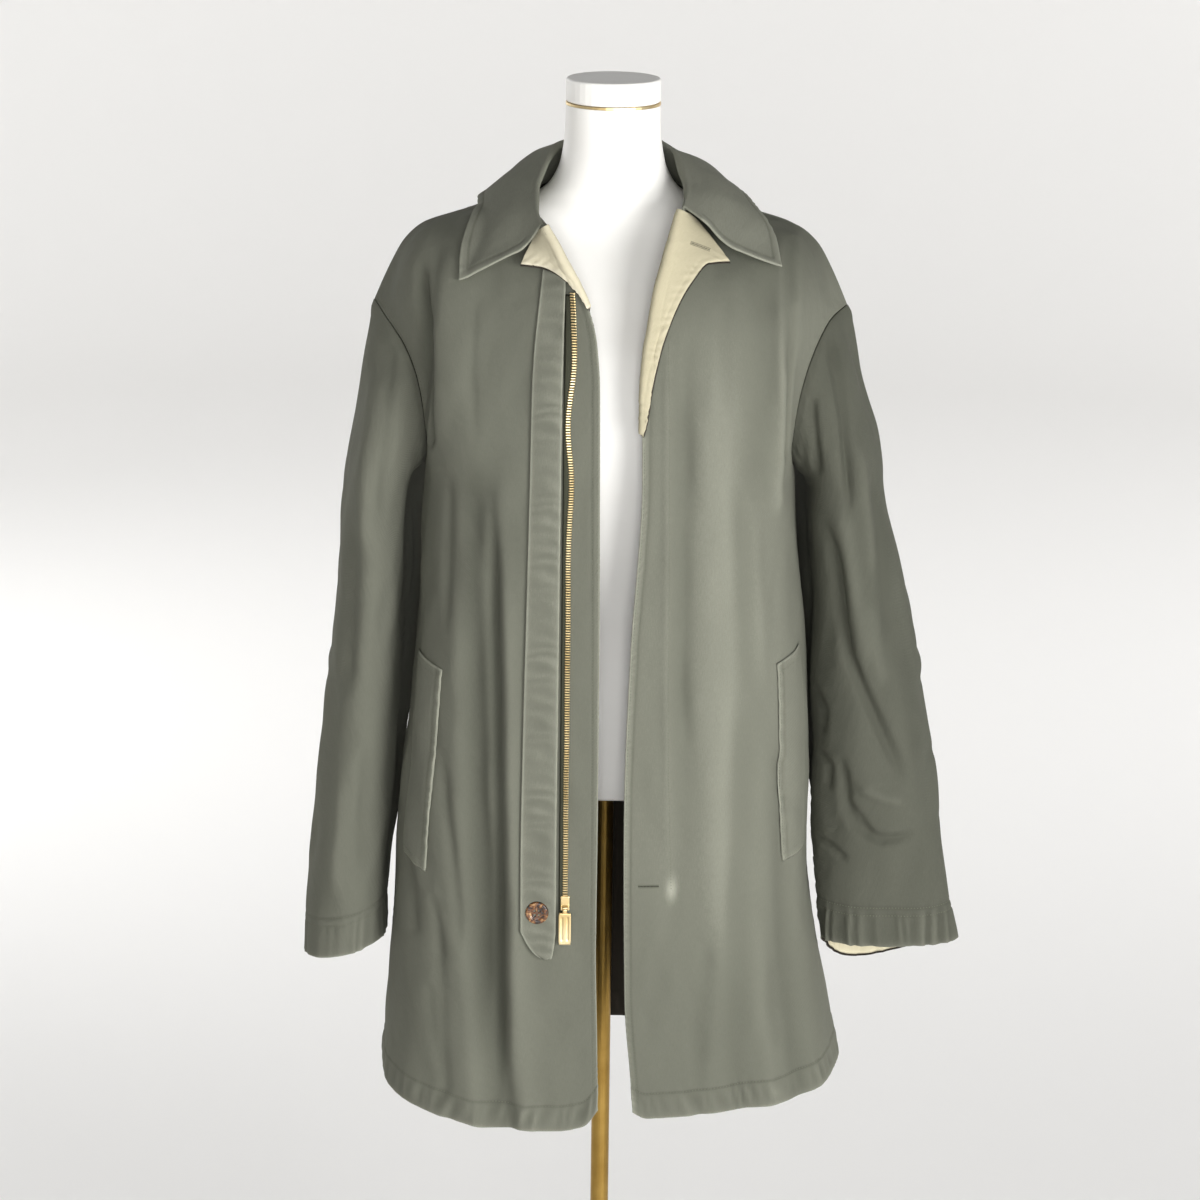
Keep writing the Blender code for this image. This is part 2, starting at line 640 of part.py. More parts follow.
def fold_depth(rows, from_start, z):
    """How far the folds of a panel move a point inwards."""
    depth = 0.0
    for at_top, at_foot, z_top, z_foot, width, deep in zip(*rows.values()):
        up = np.clip((z - z_foot) / (z_top - z_foot), 0, 1)
        centre = at_foot + (at_top - at_foot) * up
        strength = smoothstep((z_top - z) / 0.12) * smoothstep((z - z_foot) / 0.02 + 1)
        depth += deep * strength * math.exp(-(((from_start - centre) / width) ** 2))
    return depth


def folded(grid, side, half):
    """The panel with its folds pressed in, its seams left where they are."""
    rows = FOLDS[half, side]
    out = grid.copy()
    across = np.concatenate(
        [np.zeros((len(grid), 1)), np.cumsum(np.linalg.norm(np.diff(grid, axis=1), axis=2), axis=1)], axis=1
    )
    normals = grid_normals(grid, side, half)
    for i, row in enumerate(grid):
        for j, point in enumerate(row):
            inset = min(across[i, j], across[i, -1] - across[i, j]) / 0.02
            depth = fold_depth(rows, across[i, j], point[2]) * float(smoothstep(inset))
            out[i, j] -= depth * normals[i, j]
    return out


def faces_forward(side, half):
    """Whether rows up and columns along turn the face of a panel's grid outwards."""
    return (side == LEFT) == (half == "back")


def grid_normals(grid, side, half):
    up = np.gradient(grid, axis=0)
    along = np.gradient(grid, axis=1)
    normals = unit(np.cross(along, up))
    return normals if faces_forward(side, half) else -normals


def shared_normals(patches):
    """Outward directions at every grid point, shared where grids meet, and longer where the cloth bends."""
    total, faces_at, keys = {}, {}, {}
    for name, (grid, forward) in patches.items():
        keys[name] = [[tuple(np.round(p, 6)) for p in row] for row in grid]
        for i in range(grid.shape[0] - 1):
            for j in range(grid.shape[1] - 1):
                places = [(i, j), (i, j + 1), (i + 1, j + 1), (i + 1, j)]
                corners = [grid[place] for place in places]
                area = np.cross(corners[2] - corners[0], corners[3] - corners[1])
                size = np.linalg.norm(area)
                if size < 1e-10:
                    continue
                normal = area / size * (1 if forward else -1)
                for k, (row, place) in enumerate(places):
                    before, after = corners[k - 1] - corners[k], corners[(k + 1) % 4] - corners[k]
                    cosine = unit(before) @ unit(after)
                    key = keys[name][row][place]
                    total[key] = total.get(key, 0) + math.acos(np.clip(cosine, -1, 1)) * normal
                    faces_at.setdefault(key, []).append(normal)
    found = {}
    for name, (grid, _) in patches.items():
        out = np.zeros_like(grid)
        for i, row in enumerate(keys[name]):
            for j, key in enumerate(row):
                normal = unit(total[key])
                slant = np.mean([normal @ face for face in faces_at[key]])
                out[i, j] = normal / max(slant, 0.65)
        found[name] = out
    return found


def seam_space(grid, ring=False):
    """The grid drawn in from its edges by half the space of a seam. A ring has no side edges, and starts further in.

    Points that are gathered in one place stay together."""
    out = grid.copy()
    out[0] += (2 * SEAM if ring else SEAM / 2) * unit(grid[1] - grid[0])
    out[-1] += SEAM / 2 * unit(grid[-2] - grid[-1])
    if not ring:
        out[:, 0] += SEAM / 2 * unit(grid[:, 1] - grid[:, 0])
        out[:, -1] += SEAM / 2 * unit(grid[:, -2] - grid[:, -1])
    gathered = np.linalg.norm(np.diff(grid, axis=1), axis=2) < 1e-7
    for j in range(1, grid.shape[1]):
        together = gathered[:, j - 1]
        out[together, j] = out[together, j - 1]
    return out


def mesh_object(name, points, faces, material, parts):
    """A smooth-shaded object whose faces all point outwards."""
    mesh = bpy.data.meshes.new(name)
    mesh.from_pydata([tuple(p) for p in points], [], faces)
    shape = bmesh.new()
    shape.from_mesh(mesh)
    bmesh.ops.remove_doubles(shape, verts=shape.verts, dist=2e-6)
    bmesh.ops.dissolve_degenerate(shape, edges=shape.edges, dist=2e-6)
    bmesh.ops.triangulate(shape, faces=shape.faces, quad_method="SHORT_EDGE")
    bmesh.ops.recalc_face_normals(shape, faces=shape.faces)
    shape.to_mesh(mesh)
    shape.free()
    mesh.materials.append(material)
    mesh.shade_smooth()
    mesh.set_sharp_from_angle(angle=math.radians(40))
    made = bpy.data.objects.new(name, mesh)
    parts.objects.link(made)
    return made


def wall(name, outer, inner, material, parts, ring=False):
    """A closed wall between two grids. On a ring the last column joins the first."""
    rows, width = outer.shape[:2]
    far = rows * width
    spans = width if ring else width - 1
    points = np.concatenate([outer.reshape(-1, 3), inner.reshape(-1, 3)])
    faces = []
    for i in range(rows - 1):
        for j in range(spans):
            a, b = i * width + j, i * width + (j + 1) % width
            pair = two_triangles(points, a, b, b + width, a + width)
            faces += pair + [tuple(far + corner for corner in reversed(face)) for face in pair]
    for j in range(spans):
        a, b = j, (j + 1) % width
        faces.append((b, a, far + a, far + b))
        last = (rows - 1) * width
        faces.append((last + a, last + b, far + last + b, far + last + a))
    if not ring:
        for i in range(rows - 1):
            a, b = i * width, (i + 1) * width
            faces.append((a, b, far + b, far + a))
            faces.append((b + width - 1, a + width - 1, far + a + width - 1, far + b + width - 1))
    return mesh_object(name, points, faces, material, parts)


def cloth_wall(name, grid, normals, material, parts, depths=(0.0, CLOTH), ring=False):
    """A wall of cloth between two depths under a grid of points on the coat's outer face."""
    outer, inner = (seam_space(grid - depth * normals, ring) for depth in depths)
    return wall(name, outer, inner, material, parts, ring)


def front_panel(side):
    """A front's grid from hem to shoulder, its lapel's columns first, and the row where the lapel starts."""
    shares = panel_shares(NECK_SHARE)
    skirt = skirt_grid(side, "front", shares)
    yoke = yoke_grid(side, "front", shares, NECK_SHARE, np.linspace(0, 1, YOKE_ROWS + 1))
    grid = folded(np.concatenate([skirt, yoke[1:]]), side, "front")
    lapel, starts = lapel_grid(side, grid[:, 0], Surface(grid))
    return grid, np.concatenate([lapel, grid], axis=1), starts


def back_panel(fronts):
    """The back's grid, from the left side seam to the right one, sewn to the fronts' side and shoulder seams."""
    halves = []
    for side in (LEFT, RIGHT):
        shares = panel_shares(BACK_NECK_SHARE)
        skirt = skirt_grid(side, "back", shares)
        yoke = yoke_grid(side, "back", shares, BACK_NECK_SHARE, np.linspace(0, 1, YOKE_ROWS + 1))
        grid = folded(np.concatenate([skirt, yoke[1:]]), side, "back")
        grid[: SKIRT_ROWS + 1, -1] = fronts[side][: SKIRT_ROWS + 1, -1]
        grid[-1, NECK_COLUMNS:] = fronts[side][-1, NECK_COLUMNS:]
        halves.append(grid)
    middle = (halves[0][:, :1] + halves[1][:, :1]) / 2
    return np.concatenate([halves[0][:, :0:-1], middle, halves[1][:, 1:]], axis=1)


def sleeve_grid(side, front, back):
    """Rings from the armhole down to the cuff. A ring runs from the shoulder over the front to the underarm."""
    back_edge = back[:, 0] if side == LEFT else back[:, -1]
    seam = np.concatenate([front[SKIRT_ROWS:, -1][::-1], back_edge[SKIRT_ROWS + 1 : -1]])
    angles = 2 * math.pi * np.arange(len(seam)) / len(seam)
    grid = np.empty((SLEEVE_ROWS + 1, len(seam), 3))
    for i, run in enumerate(np.linspace(0, 1, SLEEVE_ROWS + 1)):
        x, y, z, wide, deep, tilt, swing = columns(SLEEVE[side], "x y z wide deep tilt swing", run)
        lean = math.radians(tilt)
        outwards = np.array([side * math.cos(lean), 0, math.sin(lean)])
        section = np.array([side * x, y, z]) + wide * np.outer(np.cos(angles), outwards)
        section[:, 1] -= deep * np.sin(angles)
        section[:, 0] -= side * swing * np.maximum(0, -np.sin(angles)) ** 2.5
        grid[i] = section + (seam - section) * (1 - smoothstep(run / CROWN))
    return grid


def collar_grid(fronts, back, panels):
    """Rows from the left front end round the neck to the right one. A row runs up the stand and down the leaf."""
    half_width = NECK_COLUMNS + SHOULDER_COLUMNS
    rows = []
    for side in (LEFT, RIGHT):
        to_middle = back[-1, half_width - NECK_COLUMNS : half_width + 1]
        if side == RIGHT:
            to_middle = back[-1, half_width : half_width + NECK_COLUMNS + 1][::-1]
        neckline = np.concatenate([fronts[side][-1, :NECK_COLUMNS], to_middle])
        shares = np.linspace(0, 1, COLLAR_ROWS + 1)
        half = [collar_row(side, seam, share) for seam, share in zip(spread(neckline, shares), shares)]
        rows += half if side == LEFT else half[-2::-1]
    grid = np.array(rows)
    grid[:, -LEAF_COLUMNS:] = settled(grid[:, -LEAF_COLUMNS:], panels, COLLAR_CLOTH + 0.0012, off_shoulders)
    return grid


def collar_row(side, seam, share):
    """One row of the collar's face: foot of the stand, its top, round the fold and out to the leaf's edge."""
    fold = columns(COLLAR[side], "fold_x fold_y fold_z", share) * (side, 1, 1)
    leaf = columns(COLLAR[side], "leaf_x leaf_y leaf_z", share) * (side, 1, 1)
    up = np.array([0.0, 0.0, 1.0])
    out = unit((leaf - fold) * (1, 1, 0))
    foot = seam + COLLAR_LIFT * up - COLLAR_INSET * out
    turn = COLLAR_TURN * (0.45 + 0.55 * float(smoothstep(share / 0.2)))
    centre = fold + turn * out - turn * up
    row = [foot, foot + (centre - turn * out - foot) / 2]
    for angle in np.radians((180, 135, 90, 45)):
        row.append(centre + turn * (math.cos(angle) * out + math.sin(angle) * up))
    start = row[-1]
    for reach in np.linspace(0, 1, LEAF_COLUMNS + 1)[1:]:
        bow = COLLAR_BOW * math.sin(math.pi * reach) * unit(up + 0.6 * out)
        point = start + (leaf - start) * reach + bow
        row.append(point)
    return row


def laid_strip(rows, surface):
    """The inner face of a strip that lies on a panel. Each row is a list of places (x, z) seen from the front."""
    grid = np.array([[surface.point(x, z) for x, z in row] for row in rows])
    return settled(grid, surface, LAID, to_front)


def strip_wall(name, inner, thick, material, parts):
    """A flat strip of the given thickness in front of its inner face. Returns the face that shows."""
    outer = inner - (0, thick, 0)
    wall(name, outer, inner, material, parts)
    return outer


def places_across(left, right, z, spans):
    return [(left + (right - left) * k / spans, z) for k in range(spans + 1)]


def fly_rows():
    """Rows up the fly strip, from the rounded end of its free tab."""
    foot, outer, inner = (FLY[name][0] for name in ("z", "outer", "inner"))
    rows = []
    for share in (0.0, 0.2, 0.6):
        swell = math.sqrt(share)
        left = TAB_TIP[0] - TAB_TIP_HALF + (outer - TAB_TIP[0] + TAB_TIP_HALF) * swell
        right = TAB_TIP[0] + TAB_TIP_HALF + (inner - TAB_TIP[0] - TAB_TIP_HALF) * swell
        rows.append(places_across(left, right, TAB_TIP[1] + (foot - TAB_TIP[1]) * share, FLY_SPANS))
    for z in np.linspace(foot, FLY["z"][-1], FLY_ROWS + 1):
        left, right = columns(FLY, "outer inner", z)
        rows.append(places_across(left, right, z, FLY_SPANS))
    return rows


def zip_half(surface, tape_material, metal, parts):
    """The half of the zip on the left front: its tape, and the teeth along the tape's edge. Returns both faces."""
    heights = [TAPE_FOOT, *np.linspace(TEETH_FOOT, ZIP_TOP, ZIP_ROWS + 1)]
    tape = laid_strip([places_across(*TAPE, z, 1) for z in heights], surface)
    tape_face = strip_wall("zip_tape", tape, TAPE_THICK, tape_material, parts)
    shares = (np.array(TEETH) - TAPE[0]) / (TAPE[1] - TAPE[0])
    edges = [tape_face[1:, 0] + (tape_face[1:, 1] - tape_face[1:, 0]) * share for share in shares]
    teeth = np.stack(edges, axis=1) - (0, LAID, 0)
    strip_wall("zip_teeth", teeth, TEETH_THICK, metal, parts)
    return tape_face


def welt(side, surface, material, parts):
    """A slanted welt: its rows run up the pocket, and its columns from the front round to the side."""
    rows = WELT[side]
    grid = []
    for z in np.linspace(rows["z"][0], rows["z"][-1], WELT_ROWS + 1):
        x, width = columns(rows, "x width", z)
        path = body_section(side, "front", z, np.linspace(0, 1, 121))
        run = np.concatenate([[0.0], np.cumsum(np.linalg.norm(np.diff(path, axis=0), axis=1))])
        start = np.interp(abs(x), abs(path[:, 0]), run)
        row = []
        for share in np.linspace(0, 1, WELT_COLUMNS + 1):
            at = start + width * share
            place = (np.interp(at, run, path[:, 0]), np.interp(at, run, path[:, 1]), z + WELT_SLANT * share)
            row.append(surface.beside(place))
        grid.append(row)
    inner = settled(np.array(grid), surface, LAID, off_body)
    outer = inner + WELT_THICK * np.array([[off_body(point) for point in row] for row in inner])
    name = "welt_left" if side == LEFT else "welt_right"
    return wall(name, outer, inner, material, parts)


def placed(made, name, material, parts):
    """Names a new primitive and moves it into the object's collection."""
    made.name = name
    made.data.name = name
    made.data.materials.clear()
    made.data.materials.append(material)
    for collection in list(made.users_collection):
        collection.objects.unlink(made)
    parts.objects.link(made)
    return made


def box(name, size, centre, material, parts):
    bpy.ops.mesh.primitive_cube_add(size=1, location=centre)
    made = placed(bpy.context.object, name, material, parts)
    made.data.transform(Matrix.Diagonal((*size, 1.0)))
    return made


def cylinder(name, radius, length, centre, axis, material, parts, sides=24):
    turn = {"x": (0, math.pi / 2, 0), "y": (math.pi / 2, 0, 0), "z": (0, 0, 0)}[axis]
    bpy.ops.mesh.primitive_cylinder_add(vertices=sides, radius=radius, depth=length, location=centre, rotation=turn)
    made = placed(bpy.context.object, name, material, parts)
    made.data.shade_smooth()
    made.data.set_sharp_from_angle(angle=math.radians(40))
    return made


def rounded(made, width, segments=2):
    edge = made.modifiers.new("rounded edges", "BEVEL")
    edge.width = width
    edge.segments = segments
    edge.limit_method = "ANGLE"
    return made


def combine(made, other, operation, tools):
    """A Boolean with a helper that stays out of the model."""
    step = made.modifiers.new(operation.lower(), "BOOLEAN")
    step.operation = operation
    step.object = other
    for collection in list(other.users_collection):
        collection.objects.unlink(other)
    tools.objects.link(other)
    other.hide_render = True
    other.display_type = "WIRE"


def turned(name, profile, centre, material, parts, steps=32):
    """A profile of (radius, height) turned about +Z, from the top of its outer side down."""
    mesh = bpy.data.meshes.new(name)
    mesh.from_pydata([(r, 0.0, z) for r, z in profile], [(i, i + 1) for i in range(len(profile) - 1)], [])
    made = bpy.data.objects.new(name, mesh)
    made.location = centre
    parts.objects.link(made)
    mesh.materials.append(material)
    screw = made.modifiers.new("turn", "SCREW")
    screw.steps = steps
    screw.render_steps = steps
    screw.use_merge_vertices = True
    screw.merge_threshold = 0.00005
    screw.use_smooth_shade = True
    return made


def slider_and_pull(tape_face, material, parts, tools):
    """The slider at the foot of the zip, with two lugs and a pin, and the pull that hangs on the pin."""
    x, z = SLIDER_AT
    thick = SLIDER_SIZE[1]
    back = tape_face[:2, :, 1].min() - SEAM
    face = back - thick
    slider = rounded(box("zip_slider", SLIDER_SIZE, (x, back - thick / 2, z), material, parts), 0.0009)
    pivot = (x, face - PIN_OUT, z - PIN_DROP)
    for turn in (-1, 1):
        lug_y = face + 0.0004 - LUG_SIZE[1] / 2
        lug = box("slider_lug", LUG_SIZE, (x + turn * LUG_SPREAD / 2, lug_y, pivot[2]), material, parts)
        combine(slider, lug, "UNION", tools)
    pin = cylinder("slider_pin", PIN_RADIUS, LUG_SPREAD + 0.0004, pivot, "x", material, parts, 12)
    combine(slider, pin, "UNION", tools)

    pull_middle = -(PULL_NECK + PULL_SIZE[2] / 2)
    pull = box("zip_pull", PULL_SIZE, pivot, material, parts)
    pull.data.transform(Matrix.Translation((0, 0, pull_middle)))
    rounded(pull, 0.0006)
    barrel = cylinder("pull_barrel", BARREL_RADIUS, BARREL_LENGTH, pivot, "x", material, parts)
    neck = box("pull_neck", (BARREL_LENGTH, 0.0014, PULL_NECK), pivot, material, parts)
    neck.data.transform(Matrix.Translation((0, 0, -PULL_NECK / 2 - 0.0009)))
    bore = cylinder("pull_bore", BARREL_BORE, BARREL_LENGTH * 2, pivot, "x", material, parts, 16)
    combine(pull, neck, "UNION", tools)
    combine(pull, barrel, "UNION", tools)
    combine(pull, bore, "DIFFERENCE", tools)


def button(surface, material, parts, tools):
    """A four-hole button with a raised rim, on the tab of the fly strip."""
    x, z = BUTTON_AT
    r, t = BUTTON_RADIUS, BUTTON_THICK
    profile = [(0, t * 0.72), (r * 0.60, t * 0.72), (r * 0.74, t), (r * 0.90, t), (r, t * 0.6), (r * 0.96, t * 0.2)]
    profile += [(r * 0.84, 0), (0, 0)]
    across, up = (surface.point(x + u, z + w) - surface.point(x - u, z - w) for u, w in ((r, 0), (0, r)))
    out = unit(np.cross(across, up))
    rim = [surface.point(x + u * r, z + w * r) for u, w in ((0, 0), (1, 0), (-1, 0), (0, 1), (0, -1))]
    where = surface.point(x, z)
    where += (LAID + max((place - where) @ out for place in rim)) * out
    made = turned("button", profile, where, material, parts, 28)
    made.rotation_euler = Vector(out).to_track_quat("Z", "Y").to_euler()
    for across in (-1, 1):
        for up in (-1, 1):
            place = Vector((across * BUTTON_HOLE_SPREAD, up * BUTTON_HOLE_SPREAD, 0))
            hole = cylinder("button_hole", BUTTON_HOLE_RADIUS, t * 3, (0, 0, 0), "z", material, parts, 10)
            hole.rotation_euler = made.rotation_euler
            hole.location = Vector(where) + made.rotation_euler.to_matrix() @ place
            combine(made, hole, "DIFFERENCE", tools)


def dress_form(parts, white, brass):
    """The limbless form: torso and neck in one, the ring and cap on its neck, and the pole and base below."""
    angles = 2 * math.pi * np.arange(FORM_SIDES) / FORM_SIDES
    points = []
    for z, wide, deep, y, squareness in zip(*FORM.values()):
        cos, sin = np.cos(angles), np.sin(angles)
        xs = wide * np.sign(cos) * abs(cos) ** (2 / squareness)
        ys = y + deep * np.sign(sin) * abs(sin) ** (2 / squareness)
        points += [(px, py, z) for px, py in zip(xs, ys)]
    faces = []
    sections = len(FORM["z"])
    for i in range(sections - 1):
        for j in range(FORM_SIDES):
            a, b = i * FORM_SIDES + j, i * FORM_SIDES + (j + 1) % FORM_SIDES
            faces.append((a, b, b + FORM_SIDES, a + FORM_SIDES))
    faces.append(tuple(range(FORM_SIDES))[::-1])
    faces.append(tuple((sections - 1) * FORM_SIDES + j for j in range(FORM_SIDES)))
    mesh_object("form_torso", points, faces, white, parts)

    top = FORM["z"][-1]
    neck = FORM["wide"][-1]
    ring_z = top + SEAM + RING_THICK / 2
    cylinder("form_neck_ring", neck + 0.0002, RING_THICK, (0, 0, ring_z), "z", brass, parts, 40)
    cap_z = top + 2 * SEAM + RING_THICK + CAP_HEIGHT / 2
    rounded(cylinder("form_neck_cap", neck, CAP_HEIGHT, (0, 0, cap_z), "z", white, parts, 40), 0.0025, 3)
    foot = FORM["z"][0] - SEAM
    pole_foot = BASE_THICK + SEAM
    pole_z = (foot + pole_foot) / 2
    cylinder("pole", POLE_RADIUS, foot - pole_foot, (0, 0, pole_z), "z", brass, parts, 24)
    base = cylinder("base", BASE_RADIUS, BASE_THICK, (0, 0, BASE_THICK / 2), "z", brass, parts, 48)
    rounded(base, BASE_EDGE)


def main():
    for made in list(bpy.data.objects):
        bpy.data.objects.remove(made, do_unlink=True)
    parts = bpy.data.collections.new("car_coat_on_form")
    tools = bpy.data.collections.new("cutters")
    for collection in (parts, tools):
        bpy.context.scene.collection.children.link(collection)
    tools.hide_render = True
    twill = finish("olive cotton twill", TWILL, 0.9)
    tan = finish("tan cotton twill", TAN_TWILL, 0.9)
    tape = finish("zip tape", DARK_TAPE, 0.85)
    brass = finish("brass", BRASS, 0.28, 1.0)
    shell = finish("tortoiseshell", TORTOISESHELL, 0.3)
    white = finish("white form", PLASTER_WHITE, 0.55)

    fronts, lapelled, starts = {}, {}, {}
    for side in (LEFT, RIGHT):
        fronts[side], lapelled[side], starts[side] = front_panel(side)
    back = back_panel(fronts)
    sleeves = {side: sleeve_grid(side, fronts[side], back) for side in (LEFT, RIGHT)}
    patches = {"back": (back, False)}
    for side in (LEFT, RIGHT):
        patches["front", side] = (lapelled[side], side == RIGHT)
        patches["sleeve", side] = (np.concatenate([sleeves[side], sleeves[side][:, :1]], axis=1), side == RIGHT)
    normals = shared_normals(patches)
    cloth_wall("back", back, normals["back"], twill, parts)
    for side, word in ((LEFT, "left"), (RIGHT, "right")):
        front_normals = normals["front", side]
        cloth_wall(f"front_{word}", lapelled[side], front_normals, twill, parts)
        covered = LAPEL_COLUMNS + ROLL_STEPS + 1 + FACING_REACH
        depths = (CLOTH + LAID, CLOTH + LAID + FACING)
        turned_out = np.s_[starts[side] :, :covered]
        facing_normals = front_normals[turned_out].copy()
        facing_normals[0] *= 1.15
        cloth_wall(f"facing_{word}", lapelled[side][turned_out], facing_normals, tan, parts, depths)
        sleeve_normals = normals["sleeve", side][:, :-1]
        cloth_wall(f"sleeve_{word}", sleeves[side], sleeve_normals, twill, parts, ring=True)
        cuff = sleeves[side][-CUFF_ROWS:]
        cloth_wall(f"cuff_facing_{word}", cuff, sleeve_normals[-CUFF_ROWS:], tan, parts, depths, ring=True)

    left_front = Surface(fronts[LEFT])
    fly_face = strip_wall("fly_strip", laid_strip(fly_rows(), left_front), FLY_THICK, twill, parts)
    tape_face = zip_half(left_front, tape, brass, parts)
    slider_and_pull(tape_face, brass, parts, tools)
    button(Surface(fly_face), shell, parts, tools)
    for side in (LEFT, RIGHT):
        welt(side, Surface(fronts[side]), twill, parts)
    collar = collar_grid(fronts, back, Surface(lapelled[LEFT], lapelled[RIGHT], back))
    collar_normals = shared_normals({"collar": (collar, False)})["collar"]
    wall("collar", collar, collar - COLLAR_CLOTH * collar_normals, twill, parts)
    dress_form(parts, white, brass)


main()
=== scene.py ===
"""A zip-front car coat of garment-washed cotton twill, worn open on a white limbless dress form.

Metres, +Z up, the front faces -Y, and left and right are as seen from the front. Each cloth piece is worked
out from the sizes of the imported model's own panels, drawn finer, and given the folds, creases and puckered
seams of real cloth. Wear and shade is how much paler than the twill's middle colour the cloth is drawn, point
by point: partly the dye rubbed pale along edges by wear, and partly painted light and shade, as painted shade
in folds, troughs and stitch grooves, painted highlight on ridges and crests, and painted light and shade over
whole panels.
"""

import math

import bpy
import numpy as np
from mathutils import Matrix, Vector
from mathutils.bvhtree import BVHTree


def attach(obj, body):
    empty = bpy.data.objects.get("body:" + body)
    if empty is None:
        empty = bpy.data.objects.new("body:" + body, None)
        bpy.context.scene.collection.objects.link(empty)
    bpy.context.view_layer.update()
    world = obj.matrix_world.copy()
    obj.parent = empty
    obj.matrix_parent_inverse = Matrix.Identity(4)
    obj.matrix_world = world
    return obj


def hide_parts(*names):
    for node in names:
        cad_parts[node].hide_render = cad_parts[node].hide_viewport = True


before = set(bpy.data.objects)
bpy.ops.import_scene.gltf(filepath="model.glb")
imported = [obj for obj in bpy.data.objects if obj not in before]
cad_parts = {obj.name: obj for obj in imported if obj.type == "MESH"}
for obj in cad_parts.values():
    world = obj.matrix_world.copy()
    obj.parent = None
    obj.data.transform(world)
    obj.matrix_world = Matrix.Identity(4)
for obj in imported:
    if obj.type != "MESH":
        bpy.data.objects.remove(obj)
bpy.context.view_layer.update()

# ---- Fronts ----
# Two fronts of washed cotton twill with a turned-out lapel each. Every front is cut as one panel from hem to
# shoulder, lined, and sewn to the back at the side and the shoulder; its hem is a wide folded band.

LEFT = -1
RIGHT = 1
WORDS = {LEFT: "left", RIGHT: "right"}
CLOTH = 0.0021  # twill and its lining, pressed together
ARMPIT = 1.110
SKIRT_ROWS = 22
YOKE_ROWS = 14
NECK_COLUMNS = 8
SHOULDER_COLUMNS = 14
FINE = 0.0031  # spacing of the points of a front or a sleeve
HEM_CORNER = {LEFT: 0.024, RIGHT: 0.008}  # radius of the corner at the foot of each front
RATIOS = ("share", "run", "reach", "squareness", "tilt")  # columns of tables that aren't lengths


def table(heading, *rows):
    """A table in millimetres as a dictionary of columns in metres. The first column runs upwards and the
    others depend on it."""
    names = heading.split()
    scale = [1 if name in RATIOS else 1000 for name in names]
    return dict(zip(names, (np.array(rows, float) / scale).T))


FRONT_SQUARENESS = 3.0  # 2 is an ellipse, and more is squarer
BODY = {
    LEFT: table(
        "z side front back",
        (440, 230.5, -148, 128),
        (540, 224, -154, 136),
        (620, 218.5, -157, 140),
        (700, 214, -159, 142),
        (770, 210, -160, 143),
        (850, 201, -160, 142),
        (950, 192, -158, 139),
        (1030, 187, -155, 136),
        (1110, 185, -152, 133),
    ),
    RIGHT: table(
        "z side front back",
        (440, 256, -148, 128),
        (500, 244, -152, 132),
        (570, 230, -155, 137),
        (640, 217, -157, 140),
        (710, 209, -159, 142),
        (830, 207, -160, 142),
        (950, 200, -158, 139),
        (1030, 192, -155, 136),
        (1110, 186, -152, 133),
    ),
}
EDGE = {
    LEFT: table(
        "z x y",
        (440, -2, -148),
        (550, -4.5, -155),
        (650, -6.8, -158),
        (780, -6.5, -160),
        (965, -7, -158),
        (1110, -8.3, -152),
        (1218, -9.7, -143),
        (1262, -13.5, -137),
        (1285, -19, -132),
        (1305, -27, -127),
        (1322, -36.5, -122),
        (1338, -46.5, -117),
        (1354, -56, -111),
        (1367, -65, -105),
    ),
    RIGHT: table(
        "z x y",
        (440, 34, -148),
        (500, 30, -152),
        (590, 22.5, -156),
        (800, 19.3, -160),
        (965, 23.9, -158),
        (1050, 29.6, -155),
        (1110, 32.5, -152),
        (1169, 32, -147),
        (1209, 32.8, -143),
        (1249, 35.8, -138),
        (1279, 40.2, -133),
        (1309, 45, -127),
        (1331, 50.5, -120),
        (1358, 58.4, -107),
        (1382, 66.5, -92),
    ),
}
HEM = {
    LEFT: table("share z", (0, 445), (0.35, 445.5), (0.6, 456), (0.8, 470), (1, 478)),
    RIGHT: table("share z", (0, 459), (0.35, 468), (0.6, 476), (0.8, 484), (1, 488)),
}
NECK_SHARE = 0.30  # share of a front's width at the armpit that runs up to the neckline
NECK_POINT = (0.0790, 0.0020, 1.3870)
NECK_SWEEP = 0.45  # how far the neckline bows, as a share of its width
SHOULDER = table(
    "share x y z",
    (0, 79, 2, 1387),
    (0.25, 120, 2, 1375),
    (0.45, 156, 1, 1365),
    (0.64, 188, 0, 1354),
    (0.77, 207, 0, 1337),
    (0.89, 223, 0, 1308),
    (1, 237, 0, 1276),
)
ARMHOLE = {
    LEFT: table(
        "share x y z",
        (0, 237, 0, 1276),
        (0.15, 223, -29, 1262),
        (0.32, 205, -50, 1240),
        (0.5, 191.5, -59, 1208),
        (0.66, 185, -60, 1174),
        (0.84, 181.5, -44, 1135),
        (1, 185, 0, 1110),
    ),
    RIGHT: table(
        "share x y z",
        (0, 237, 0, 1276),
        (0.15, 220.5, -30, 1268),
        (0.32, 206, -56, 1248),
        (0.5, 193, -72, 1215),
        (0.66, 185, -76, 1178),
        (0.84, 181.5, -53, 1133),
        (1, 186, 0, 1110),
    ),
}
YOKE_FULLNESS = 2.25  # how squarely a panel turns in over the chest to the shoulder
LAPEL = {
    LEFT: table(
        "share x z",
        (0, -20.4, 1288.2),
        (0.2, -29, 1303),
        (0.4, -40, 1314.5),
        (0.6, -53, 1323.5),
        (0.8, -70, 1328.1),
        (1, -89, 1329),
    ),
    RIGHT: table(
        "share x z",
        (0, 32.6, 1166.2),
        (0.07, 36.6, 1179),
        (0.2, 41.4, 1211),
        (0.4, 50.8, 1255),
        (0.58, 63, 1289.5),
        (0.74, 78.5, 1317),
        (0.86, 95.5, 1333.2),
        (1, 116, 1333),
    ),
}
LAPEL_STARTS = {LEFT: 1.2880, RIGHT: 1.1658}  # height on the edge at which each lapel starts to turn
ROLL_RADIUS = 0.0019
LAPEL_STAND = 0.0062  # how far the free edge of a lapel stands off the front, beyond the roll
ROLL_COLUMNS = 5
LAPEL_COLUMNS = 24
